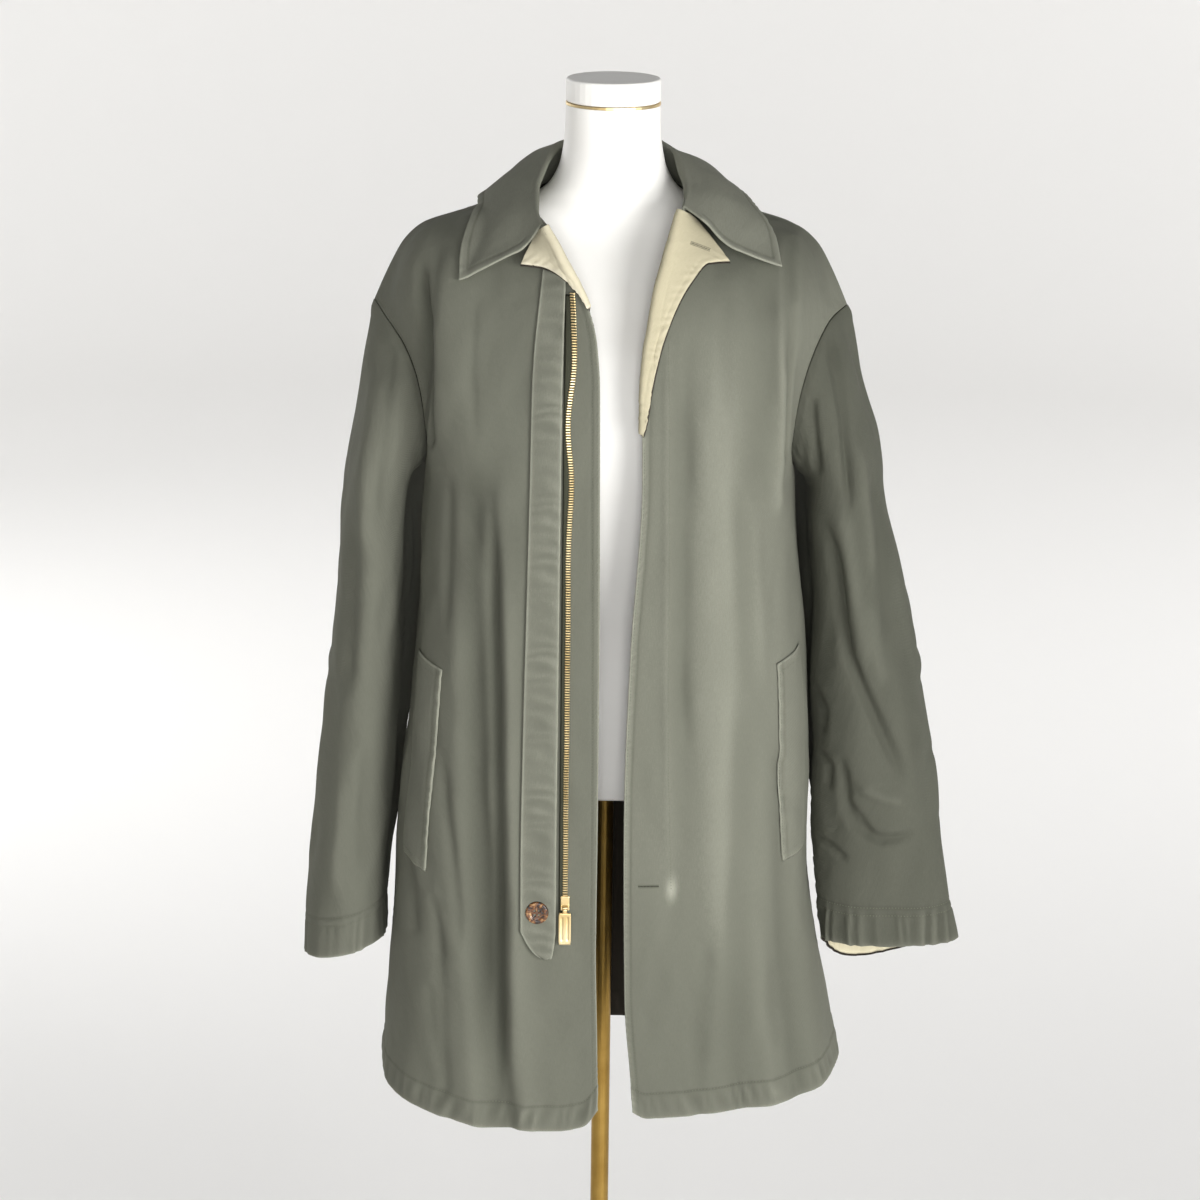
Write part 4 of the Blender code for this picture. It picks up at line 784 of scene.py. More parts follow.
for side in (LEFT, RIGHT):
    coarse = coarse_fronts[side]
    grid = finer(coarse, places(coarse, 0, FINE, (HEM_BAND,)), places(coarse, 1, FINE, (EDGE_ROW,)))
    normals = grid_normals(grid, side)
    across, up = across_of(grid), up_of(grid)
    from_side, from_top = across[:, -1:] - across, up[-1:] - up
    from_seams = np.minimum(np.minimum(from_side, from_top), across)
    inwards = fold_depth(FOLDS["front", side], across, grid[..., 2])
    inwards += creased(grid, normals, FRONT_CREASES[side]) * smoothstep(from_seams / 0.012)
    raised = rumpled(grid, 0.0011, 11 + side) * smoothstep(from_seams / 0.03)
    band = hem_ripples(across, up, 0.0135, 31 + side)
    raised += band + groove(up - HEM_BAND) + HEM_FOLD * (1 - smoothstep((up - HEM_BAND) / 0.002))
    edge_ripples = puckers(up, across - 0.003, size=0.00045, length=0.0060, reach=0.004, seed=41 + side)
    raised += edge_ripples * smoothstep(across / 0.002)
    raised += groove(across - EDGE_ROW, 0.0005) * (from_top > 0.01)
    raised += seam_ripples(across, up, from_side, from_top, 51 + side)
    grid = grid + (raised - inwards)[..., None] * normals
    fronts[side] = grid
    normals = grid_normals(grid, side)
    surface = Surface(grid)
    front_surfaces[side] = surface

    # The lapel: round the roll line, then over the front, out to its free edge
    roll = grid[:, 0]
    run = run_of(roll)
    start = int(np.searchsorted(roll[:, 2], LAPEL_STARTS[side]))
    share = np.clip((run - run[start]) / (run[-1] - run[start]), 0, 1)
    free = columns(LAPEL[side], "x z", share)
    lapel = np.repeat(roll[:, None], TURNED, axis=1)
    for i in np.nonzero(share > 0)[0]:
        away = np.array([free[i, 0] - roll[i, 0], 0.0, free[i, 1] - roll[i, 2]])
        length = np.linalg.norm(away)
        sideways = away / max(length, 1e-9)
        turn = min(ROLL_RADIUS, 0.16 * length)
        outward = surface.seen_from_front(*free[i])[1]
        for k in range(ROLL_COLUMNS):
            angle = math.pi * (k + 1) / (ROLL_COLUMNS + 1)
            turned = (1 - math.cos(angle)) * outward - math.sin(angle) * sideways
            lapel[i, k] = roll[i] + turn * turned
        for k, reach in enumerate(np.linspace(0, 1, LAPEL_COLUMNS)):
            stand = 2 * turn + LAPEL_STAND * float(smoothstep(length / 0.05)) * reach**1.3
            x, z = roll[i, [0, 2]] + (free[i] - stand * outward[[0, 2]] - roll[i, [0, 2]]) * reach
            base = surface.seen_from_front(x, z)[0] if reach else roll[i]
            lapel[i, ROLL_COLUMNS + k] = base + stand * outward
    whole = np.concatenate([lapel[:, ::-1], grid], axis=1)
    whole_normals = grid_normals(whole, side)
    whole_normals[: start + 2, :TURNED] = normals[: start + 2, :1]
    lapelled[side], lapel_normals[side] = whole, whole_normals

    across_all, up_all, height = across_of(whole), up_of(whole), whole[..., 2]
    # The panel's whole tone is painted light and shade, and the paler edges are wear; painted shade in the
    # stitch grooves, in the troughs of the ripples and in the folds, and painted highlight on the crests and
    # ridges
    wear_and_shade_values = PANEL_TONE_AND_SHADE["front", side] + rubbed(across_all, 1.1) + rubbed(up_all, 1.0)
    wear_and_shade_values += groove(up_all - HEM_BAND, 0.35, 0.0014)
    wear_and_shade_values[:, TURNED:] += CREST_WEAR_AND_SHADE * np.clip(band + edge_ripples, -0.0014, 0.0014)
    wear_and_shade_values[:, TURNED:] += groove(across - EDGE_ROW, 0.25, 0.0012)
    wear_and_shade_values[:, TURNED:] += FOLD_SHADE * np.clip(-inwards, -0.013, 0.004) * (across > 0.02)
    if side == RIGHT:
        spot = np.hypot((whole[..., 0] - SPOT[0]) / SPOT[2], (height - SPOT[1]) / SPOT[3])
        wear_and_shade_values += 1.1 * np.exp(-(spot**2))
        # Painted shade over the right shoulder, and the right front drawn darker towards its foot
        wear_and_shade_values -= SHADED_SHOULDER[0] * smoothstep((height - SHADED_SHOULDER[1]) / SHADED_SHOULDER[2])
        wear_and_shade_values -= DARK_FOOT[0] * smoothstep((DARK_FOOT[1] - height) / DARK_FOOT[2])
    name = f"front_{WORDS[side]}"
    piece = cloth_piece(f"{name}_cloth", whole, whole_normals, (OLIVE_TWILL, SHADED_DARK_LINING), wear_and_shade=wear_and_shade_values)
    sewn_in(piece, name)

    for value in (0.0024, EDGE_ROW):
        sew(grid, normals, across, value, part=np.s_[8 : start - 2], upright=True)
    sew(grid, normals, up, HEM_BAND, part=np.s_[3:-2])
    sew(grid, normals, across - across[:, -1:], -0.0035, part=np.s_[-70:-3], upright=True)

# ---- Facings ----
# The tan facing inside each front edge, seen where the lapel turns out. It is sewn to the lapel's edge, which
# puckers it, and the right one has a buttonhole near the collar.

FACING = 0.0011
FACING_REACH = 0.022  # how far a facing runs on inside the roll line
FACING_INSET = 0.0013  # the twill of the front rolls over the lapel's edge by this much
facings = {}

for side in (LEFT, RIGHT):
    widths = across_of(lapelled[side])[:, TURNED]
    start = int(np.nonzero(widths > 0.0025)[0][0])
    beyond = int(np.searchsorted(across_of(fronts[side])[start], FACING_REACH))
    turned_out = np.s_[start:, : TURNED + beyond]
    rows = np.concatenate([lapelled[side][turned_out], -lapel_normals[side][turned_out]], axis=2)
    face, normals = np.empty((2, *rows.shape[:2], 3))
    for i, row in enumerate(rows):
        run = run_of(row[:, :3])
        at = FACING_INSET + (run[-1] - FACING_INSET) * run / run[-1]
        inset = np.stack([np.interp(at, run, row[:, k]) for k in range(6)], axis=-1)
        face[i], normals[i] = inset[:, :3], unit(inset[:, 3:])
    face = face + (CLOTH + 0.0002) * normals
    across, up = across_of(face), up_of(face)
    narrow = smoothstep((widths[start:, None] - 0.004) / 0.016)
    ripples = puckers(up, across - 0.0035, size=0.0011, length=0.0105, reach=0.008, seed=81 + side, lean=0.5)
    ripples *= narrow * smoothstep(across / 0.002)
    face = face + (FACING + ripples + groove(across - 0.0062, 0.0005) * narrow)[..., None] * normals
    # Each facing's whole tone is painted light on the left and painted shade on the right, and the paler edge
    # is wear; painted highlight on the ripples' crests and painted shade in their troughs
    wear_and_shade_values = PANEL_TONE_AND_SHADE["facing", side] + rubbed(across, 0.4, 0.003) + CREST_WEAR_AND_SHADE * ripples
    name = f"facing_{WORDS[side]}"
    piece = cloth_piece(f"{name}_cloth", face, normals, (TAN_TWILL,), thick=FACING, wear_and_shade=wear_and_shade_values)
    sewn_in(piece, name)
    facings[side] = face

# ---- Back ----
# One back panel of the same twill, from side seam to side seam, with its lining pressed to it. It hangs from
# the shoulders and carries the same folded hem as the fronts.

BACK_FINE = 0.0037  # spacing of the points of the back
BACK_STRENGTH = 1.5  # how much deeper the creases of the back are than their rows say
BACK_CREASES = (
    (8, 3.6, -115, 1230, -104, 1150, -100, 1050),
    (7, 3, 123, 1220, 109, 1130, 106, 1020),
    (6, -2.2, -85, 1200, -78, 1110, -80, 1000),
    (9, 3, 28, 960, 22, 820, 24, 640, 18, 500),
    (7, -2.6, 46, 880, 45, 720, 50, 520),
    (8, 3.2, -56, 900, -64, 740, -62, 520),
    (6, 2, -132, 820, -140, 690, -139, 560),
    (6, -2, 130, 780, 140, 640, 142, 510),
    (10, 2, -50, 1320, 0, 1308, 52, 1318),
)

halves = []
for side in (LEFT, RIGHT):
    half = panel_grid(side, "back", BACK_NECK_SHARE)
    half[: SKIRT_ROWS + 1, -1] = coarse_fronts[side][: SKIRT_ROWS + 1, -1]
    half[-1, NECK_COLUMNS:] = coarse_fronts[side][-1, NECK_COLUMNS:]
    halves.append(half)
middle = (halves[0][:, :1] + halves[1][:, :1]) / 2
coarse_back = np.concatenate([halves[0][:, :0:-1], middle, halves[1][:, 1:]], axis=1)
back = finer(coarse_back, places(coarse_back, 0, BACK_FINE, (HEM_BAND,)), places(coarse_back, 1, BACK_FINE))
normals = grid_normals(back, -1)
across, up = across_of(back), up_of(back)
from_side = np.minimum(across, across[:, -1:] - across)
from_top = up[-1:] - up
centre = back.shape[1] // 2
from_middle = abs(across - across[:, centre : centre + 1])
inwards = BACK_STRENGTH * creased(back, normals, BACK_CREASES, facing=1)
for side, half in ((LEFT, np.s_[centre::-1]), (RIGHT, np.s_[centre:])):
    inwards[:, half] += fold_depth(FOLDS["back", side], from_middle[:, half], back[:, half, 2])
from_seams = np.minimum(from_side, from_top)
inwards *= smoothstep(from_seams / 0.012)
raised = rumpled(back, 0.0013, 17) * smoothstep(from_seams / 0.03)
band = hem_ripples(across, up, 0.0145, 33)
raised += band + groove(up - HEM_BAND) + HEM_FOLD * (1 - smoothstep((up - HEM_BAND) / 0.002))
raised += seam_ripples(across, up, from_side, from_top, 53)
back = back + (raised - inwards)[..., None] * normals
back_normals = grid_normals(back, -1)
# Painted shade in the hem's stitch groove, in the troughs of the hem's ripples and in the creases, and
# painted highlight on the crests and ridges; the paler hem edge is wear
wear_and_shade_values = rubbed(up, 1.0) + groove(up - HEM_BAND, 0.35, 0.0014)
wear_and_shade_values += CREST_WEAR_AND_SHADE * np.clip(band, -0.0014, 0.0014)
wear_and_shade_values += 50 * np.clip(-inwards, -0.004, 0.004) * (from_side > 0.02)
piece = cloth_piece("back_cloth", back, back_normals, (OLIVE_TWILL, SHADED_DARK_LINING), wear_and_shade=wear_and_shade_values)
sewn_in(piece, "back")
sew(back, back_normals, up, HEM_BAND, part=np.s_[2:-2])

# ---- Sleeves ----
# Two long set-in sleeves of the same twill. The left one hangs edge-on and the right one flat, and both swing
# in behind the body, with the creases that wear leaves at the elbow and two rows of stitches above the cuff.

SLEEVE = {
    LEFT: table(
        "run x y z wide deep tilt swing",
        (0, 211, 0, 1193, 87, 72, 72, 0),
        (0.08, 221.9, 0, 1156.5, 55.8, 83, 60.6, 20),
        (0.16, 230.5, -1, 1117, 37, 87, 38.4, 42),
        (0.24, 236.5, -3, 1067.5, 33.4, 87, 13, 47),
        (0.38, 240.5, -6, 980, 34, 80, 5, 50),
        (0.53, 247.4, -10, 880, 36.4, 71, 4, 44),
        (0.68, 255.5, -15, 783, 38, 64, 2, 38),
        (0.84, 263, -21, 689, 39.3, 59, -3, 34),
        (1, 266.2, -26, 607, 43.5, 56, -13, 22),
    ),
    RIGHT: table(
        "run x y z wide deep tilt swing",
        (0, 211.5, 0, 1193, 87, 74, 72, 0),
        (0.08, 225.5, -3, 1158.5, 59.8, 82, 59.3, 20),
        (0.16, 234.8, -8, 1122, 43.9, 82, 39.6, 42),
        (0.24, 241.3, -12, 1072.5, 41.7, 79, 17.5, 45),
        (0.38, 255.5, -16, 985, 48.6, 72, 8, 50),
        (0.53, 267.5, -18, 885, 56.6, 66, 4, 48),
        (0.68, 276.5, -22, 787, 63.8, 58, 2, 48),
        (0.84, 285.2, -34, 700, 68.3, 42, 1, 20),
        (1, 295.5, -44, 622, 69, 30, 0, 0),
    ),
}

# Creases as seen from the front, from behind and from each side. The first are deeper than their rows say,
# and the last are shallower.
FRONT_STRENGTH = {LEFT: 1.3, RIGHT: 1.7}
SIDE_STRENGTH = 0.4
SLEEVE_CREASES = {
    LEFT: (
        (7, 2.4, -215.1, 1249.8, -221.1, 1169.1, -223.2, 1067.1),
        (8, -2.2, -234.8, 1229.5, -241, 1138.4, -245.2, 1025.7),
        (8, 2, -255.1, 1066.7, -257.4, 963.4, -261.7, 879.8),
        (7, 2, -241.6, 838, -243.8, 753.1, -242, 688.9),
        (8, -2, -268.1, 795.3, -272.4, 720.7, -274.7, 667),
        (4.5, 2.8, -212.1, 1327.7, -221, 1289.7, -226.9, 1239.6),
    ),
    RIGHT: (
        (5, 4.2, 205.6, 1297.1, 217.7, 1247.3, 232.4, 1177.1, 240.1, 1075.6),
        (4, 3, 199.2, 1201.9, 204.3, 1156.5, 209.3, 1116),
        (5.5, 5.2, 215.2, 1081.4, 225.3, 1034.4, 234.7, 984, 243, 934.3, 257, 900,
         276.2, 860.4, 296.7, 816.5, 301.4, 795.4),
        (8, -3.4, 230, 1090, 240, 1035, 250, 975, 262, 925),
        (8, -3, 258.4, 993.6, 272.2, 931.5, 279.1, 900.3),
        (5, 3.4, 239, 825.2, 243.8, 794.6, 245.6, 766, 255.1, 752.3, 267.5, 742.9,
         283, 738, 301, 739, 318.2, 744),
        (4, 2.4, 244.3, 775.6, 258.9, 760.9, 272.7, 740.8),
        (6, -2.8, 255.9, 794.8, 280.5, 784.5, 303.9, 778.5),
        (3.5, 2.2, 214.1, 730.5, 229.5, 724.3, 248.1, 711.7),
        (3.5, 2.2, 213.1, 889, 221.7, 868.1, 220.4, 841.8),
        (3.5, 2.2, 214.7, 826, 227.3, 810.3, 225.9, 783.8),
        (8.5, 2, 260, 1130, 275.1, 1035, 286, 940),
        (6, -2.5, 245.8, 1157.1, 258, 1075.8, 263.8, 1014.3),
        (8, 1.4, 297, 950, 307.5, 890.2, 316, 820),
    ),
}
SLEEVE_BACK_CREASES = {
    LEFT: (
        (7, 3.6, -215, 1040, -226, 960, -238, 900),
        (6, 3, -242, 880, -233, 830, -238, 770),
        (8, -2.6, -230, 940, -244, 860, -250, 790),
        (5.5, 2.8, -225, 920, -245, 905, -262, 910),
    ),
    RIGHT: (
        (7, 3.8, 230, 1060, 242, 970, 260, 900),
        (6, 3, 250, 910, 270, 870, 294, 860),
        (8, -2.8, 248, 960, 260, 870, 264, 790),
        (5.5, 3, 256, 840, 276, 810, 298, 815),
    ),
}
SLEEVE_SIDE_CREASES = {
    LEFT: (
        (7.5, 3.4, 42, 980, 15, 938, -28, 916),
        (6, 2.8, 40, 902, 8, 886, -30, 894),
        (10, -3, 38, 942, 5, 912, -30, 905),
        (11, 3, -18, 1150, -32, 1060, -26, 975),
        (8.5, 2.6, 22, 835, 4, 770, -4, 690),
        (8, -2.2, -18, 810, -30, 740, -26, 680),
    ),
    RIGHT: (
        (7, 3.6, 38, 990, 8, 942, -34, 920),
        (6, 3.2, 34, 916, 0, 890, -40, 898),
        (10, -3.2, 36, 952, 2, 916, -36, 908),
        (10, 3.2, 6, 1140, 20, 1050, 12, 980),
        (6.5, 3, 16, 848, -16, 816, -48, 824),
        (8, 2.4, 4, 790, -20, 750, -52, 742),
    ),
}
CROWN = 0.20  # share of the run over which the armhole's own outline dies away
SLEEVE_ROWS = 26
CUFF_STITCH = 0.042  # height of the cuff's upper row of stitches
CUFF_ROWS = 0.0085  # between the two rows
CUFF_DROOP = {LEFT: 0.0, RIGHT: 0.044}  # how much lower the back of a cuff hangs
CUFF_PLEATS = {LEFT: (22, 0.0010), RIGHT: (23, 0.0022)}  # how many ripples the cuff has, and their height
sleeves, sleeve_normals = {}, {}

for side in (LEFT, RIGHT):
    back_edge = coarse_back[:, 0] if side == LEFT else coarse_back[:, -1]
    seam = np.concatenate([coarse_fronts[side][SKIRT_ROWS:, -1][::-1], back_edge[SKIRT_ROWS + 1 : -1]])
    angles = 2 * math.pi * np.arange(len(seam)) / len(seam)
    coarse = np.empty((SLEEVE_ROWS + 1, len(seam), 3))
    for i, share in enumerate(np.linspace(0, 1, SLEEVE_ROWS + 1)):
        x, y, z, wide, deep, tilt, swing = columns(SLEEVE[side], "x y z wide deep tilt swing", share)
        lean = math.radians(tilt)
        across_arm = np.array([side * math.cos(lean), 0, math.sin(lean)])
        section = np.array([side * x, y, z]) + wide * np.outer(np.cos(angles), across_arm)
        section[:, 1] -= deep * np.sin(angles)
        behind = np.maximum(0, -np.sin(angles))
        section[:, 0] -= side * swing * behind**2.5
        droop = CUFF_DROOP[side] * smoothstep((share - 0.86) / 0.14)
        section[:, 2] -= droop * behind * (0.6 - 0.4 * np.cos(angles))
        coarse[i] = section + (seam - section) * (1 - smoothstep(share / CROWN))
    wrapped = np.concatenate([coarse[:, -2:], coarse, coarse[:, :3]], axis=1)
    count = len(seam) * 4
    rows = places(coarse, 0, FINE, (-CUFF_STITCH, CUFF_ROWS - CUFF_STITCH))
    grid = finer(wrapped, rows, 2 + np.arange(count) * len(seam) / count)
    normals = grid_normals(grid, side, ring=True)
    closed = np.concatenate([grid, grid[:, :1]], axis=1)
    whole_way = across_of(closed)[:, -1].mean()
    across, down = across_of(closed)[:, :-1], up_of(closed)[:, :-1]
    around = across / across_of(closed)[:, -1:] * whole_way
    up = down[-1:] - down
    inwards = FRONT_STRENGTH[side] * creased(grid, normals, SLEEVE_CREASES[side])
    inwards += creased(grid, normals, SLEEVE_BACK_CREASES[side], facing=1)
    inwards += SIDE_STRENGTH * creased(grid, normals, SLEEVE_SIDE_CREASES[side], facing=side, from_side=True)
    inwards *= smoothstep(down / 0.02)
    raised = rumpled(grid, 0.0015, 21 + side) * smoothstep(down / 0.03)
    pleats, size = CUFF_PLEATS[side]
    band = puckers(around, np.maximum(up - 0.027, 0), size, whole_way / pleats, reach=0.011, seed=91 + side)
    raised += band + groove(up - CUFF_STITCH, 0.0008) + groove(up - CUFF_STITCH + CUFF_ROWS, 0.0008)
    crown = puckers(around, down - 0.006, 0.0008, whole_way / 26, reach=0.009, seed=101 + side)
    raised += crown * smoothstep(down / 0.005) - groove(down - 0.009, 0.0014, 0.006)
    inner_seam = abs(around - whole_way * 0.5)
    under_arm = puckers(up, inner_seam, size=0.0011, length=0.0170, reach=0.014, seed=121 + side, lean=0.4)
    raised += under_arm * smoothstep(down / 0.25)
    grid = grid + (raised - inwards)[..., None] * normals
    sleeves[side], sleeve_normals[side] = grid, normals
    # The sleeve's whole tone is painted light and shade, and the paler cuff edge is wear; painted shade in
    # the cuff's stitch groove, between the pleats and in the creases, and painted highlight on the pleats and
    # ridges
    wear_and_shade_values = PANEL_TONE_AND_SHADE["sleeve", side] + rubbed(up, 1.1) + groove(up - CUFF_STITCH, 0.3, 0.0014)
    wear_and_shade_values += 240 * np.clip(band, -0.0018, 0.0018) + 60 * np.clip(-inwards, -0.004, 0.004)
    name = f"sleeve_{WORDS[side]}"
    piece = cloth_piece(f"{name}_cloth", grid, normals, (OLIVE_TWILL, SHADED_DARK_LINING), wear_and_shade=wear_and_shade_values, ring=True)
    sewn_in(piece, name)
    looped = [np.concatenate([part, part[:, :1]], axis=1)[::-1] for part in (grid, normals, up)]
    for value in (CUFF_STITCH, CUFF_STITCH - CUFF_ROWS):
        sew(*looped, value)

# ---- Cuff facings ----
# A strip of the tan twill inside each cuff, turned in with the hem of the sleeve and held by its stitches.

CUFF_FACING = 0.038  # height of the strip

for side in (LEFT, RIGHT):
    grid, normals = sleeves[side], sleeve_normals[side]
    closed = np.concatenate([grid, grid[:, :1]], axis=1)
    up = up_of(closed)[:, 0]
    rows = np.s_[int(np.searchsorted(up, up[-1] - CUFF_FACING)) : -3]
    inside = grid[rows] - (CLOTH + FACING + 0.0003) * normals[rows]
    name = f"cuff_facing_{WORDS[side]}"
    piece = cloth_piece(f"{name}_cloth", inside, -normals[rows], (TAN_TWILL,), thick=FACING, ring=True)
    sewn_in(piece, name)

# ---- Collar ----
# A shirt collar in two layers with an interlining: a stand sewn to the neckline, folded along its top, and a
# leaf that lies down over the shoulders, with one row of stitches along its edge.

COLLAR = {
    LEFT: table(
        "share fold_x fold_y fold_z leaf_x leaf_y leaf_z",
        (0, 66, -103, 1372, 148, -98, 1313),
        (0.1, 70.5, -86, 1383, 141.5, -74, 1333),
        (0.25, 71.5, -56, 1398, 133, -36, 1365),
        (0.42, 65, -20, 1414, 134.5, 2, 1380),
        (0.62, 53, 19, 1430, 120, 56, 1377),
        (0.8, 35, 51, 1432, 73, 97, 1369),
        (1, 0, 68, 1431, 0, 113, 1364),
    ),
    RIGHT: table(
        "share fold_x fold_y fold_z leaf_x leaf_y leaf_z",
        (0, 68, -90, 1388, 167, -92, 1331),
        (0.1, 70, -72, 1396, 162, -62, 1354),
        (0.25, 69, -45, 1406, 144, -28, 1378),
        (0.42, 64, -13, 1419, 132, 6, 1386),
        (0.62, 53, 20, 1431, 117, 56, 1379),
        (0.8, 35, 51, 1432, 73, 97, 1369),
        (1, 0, 68, 1431, 0, 113, 1364),
    ),
}
FRONT_BOW = {
    LEFT: table("reach drop", (0, 0), (0.21, 15), (0.41, 13.7), (0.61, 10.6), (0.85, 4), (1, 0)),
    RIGHT: table("reach drop", (0, 0), (0.18, 5.2), (0.42, 17), (0.56, 15.2), (0.79, 8.8), (1, 0)),
}
COLLAR_CLOTH = 0.0028  # two layers and the interlining
COLLAR_FINE = (0.0026, 0.0022)  # spacing of the points along the collar and down it
COLLAR_ROWS = 24  # from each front end to the middle of the back
LEAF_COLUMNS = 9
COLLAR_TURN = 0.0042  # radius of the fold along the top
COLLAR_BOW = 0.006  # how far the leaf bows out between its fold and its edge
TIP_STAND = 0.0050  # how far the leaf's front end stands off the coat
EDGE_STITCH = 0.0080  # from the edge to its row of stitches

rows = []
for side in (LEFT, RIGHT):
    shares = np.linspace(0, 1, COLLAR_ROWS + 1)
    half_neck = neckline(side, "front", np.linspace(0, 1, 40))
    back_neck = neckline(side, "back", np.linspace(1, 0, 40))
    half = []
    for seam, share in zip(spread(np.concatenate([half_neck[:-1], back_neck]), shares), shares):
        fold = columns(COLLAR[side], "fold_x fold_y fold_z", share) * (side, 1, 1)
        leaf = columns(COLLAR[side], "leaf_x leaf_y leaf_z", share) * (side, 1, 1)
        upright = np.array([0.0, 0.0, 1.0])
        out = unit((leaf - fold) * (1, 1, 0))
        foot = seam + 0.0004 * upright - 0.0002 * out
        turn = COLLAR_TURN * (0.45 + 0.55 * float(smoothstep(share / 0.2)))
        centre_of_turn = fold + turn * out - turn * upright
        top = centre_of_turn - turn * out
        row = [foot + (top - foot) * k / 4 for k in range(4)]
        for angle in np.radians((180, 150, 120, 90, 60, 40)):
            row.append(centre_of_turn + turn * (math.cos(angle) * out + math.sin(angle) * upright))
        begin = row[-1]
        for reach in np.linspace(0, 1, LEAF_COLUMNS + 1)[1:]:
            bow = COLLAR_BOW * math.sin(math.pi * reach) * unit(upright + 0.6 * out)
            drop = float(column(FRONT_BOW[side], "drop", reach) * (1 - smoothstep(share / 0.17)))
            row.append(begin + (leaf - begin) * reach + bow - drop * np.array([0.0, 0.45, 1.0]))
        half.append(row)
    rows += half if side == LEFT else half[-2::-1]
coarse = np.array(rows)
ends = (EDGE_STITCH, -EDGE_STITCH)
grid = finer(coarse, places(coarse, 0, COLLAR_FINE[0], ends), places(coarse, 1, COLLAR_FINE[1], ends[1:]))

# The leaf is lifted off what it lies on, and its neighbours follow
below = Surface(lapelled[LEFT], lapelled[RIGHT], facings[LEFT], facings[RIGHT], back)
first_leaf = int(grid.shape[1] * 0.42)
leaf_share = np.clip((np.arange(grid.shape[1]) - first_leaf) / (grid.shape[1] - first_leaf - 1), 0, 1)
from_end = np.minimum(up_of(grid), up_of(grid)[-1:] - up_of(grid))
stand = COLLAR_CLOTH + 0.0014 + TIP_STAND * leaf_share[None] * np.exp(-from_end / 0.06)
away = unit(unit(grid * (1, 1, 0)) + (0, 0, 1.2))
for _ in range(2):
    lift = np.zeros(grid.shape[:2])
    for i in range(len(grid)):
        for j in range(first_leaf, grid.shape[1]):
            height = below.height(grid[i, j], away[i, j])
            if height is not None:
                lift[i, j] = max(0.0, stand[i, j] - height)
    for _ in range(8):
        sideways = (np.roll(lift, 1, 1) + np.roll(lift, -1, 1)) / 2
        lift = np.maximum(lift, 0.99 * ((np.roll(lift, 1, 0) + np.roll(lift, -1, 0)) / 2 + sideways) / 2)
    grid = grid + lift[..., None] * away
normals = grid_normals(grid, -1)
across, up = across_of(grid), up_of(grid)
from_edge = across[:, -1:] - across
from_end = np.minimum(up, up[-1:] - up)
near_edge = np.minimum(from_edge, np.where(np.arange(grid.shape[1]) > first_leaf, from_end, 9))
ripples = puckers(up, from_edge, size=0.0005, length=0.0120, reach=0.009, seed=111, lean=0.3)
raised = groove(near_edge - EDGE_STITCH, 0.0005) + ripples
raised += rumpled(grid, 0.0009, 5) * smoothstep(near_edge / 0.01)
grid = grid + raised[..., None] * normals
# The paler edge is wear, and the stitch groove along it is painted shade
wear_and_shade_values = 0.12 + rubbed(near_edge, 0.6, 0.0020) + groove(near_edge - EDGE_STITCH, 0.3, 0.0012)
piece = cloth_piece("collar_cloth", grid, normals, (OLIVE_TWILL,), thick=COLLAR_CLOTH, wear_and_shade=wear_and_shade_values)
sewn_in(piece, "collar")
first_row = int(np.searchsorted(up[:, -1], EDGE_STITCH))
sew(grid, normals, -from_edge, -EDGE_STITCH, part=np.s_[first_row : len(grid) - first_row], upright=True)
leaf_only = np.s_[first_leaf + 4 : int(np.searchsorted(across[0], across[0, -1] - EDGE_STITCH))]
sew(grid, normals, up, EDGE_STITCH, part=leaf_only)
sew(grid[::-1], normals[::-1], (up[-1:] - up)[::-1], EDGE_STITCH, part=leaf_only)

# ---- Welt pockets ----
# A slanted welt on each front, in double cloth, sewn down along its ends and its side edge and open along its
# front edge. Two rows of stitches cross its top and its foot.

WELT = {
    LEFT: table("z x width", (712, -179, 46), (790, -172.5, 50), (924, -162.5, 52)),
    RIGHT: table("z x width", (724, 183, 46), (810, 178, 50), (936, 168, 52)),
}
WELT_SLANT = 0.010  # how much higher a welt's ends are at its side edge
WELT_THICK = 0.0018
LAID = 0.0005  # space under a piece that lies on a panel
WELT_ROW = 0.0085  # from the front edge to its second row of stitches

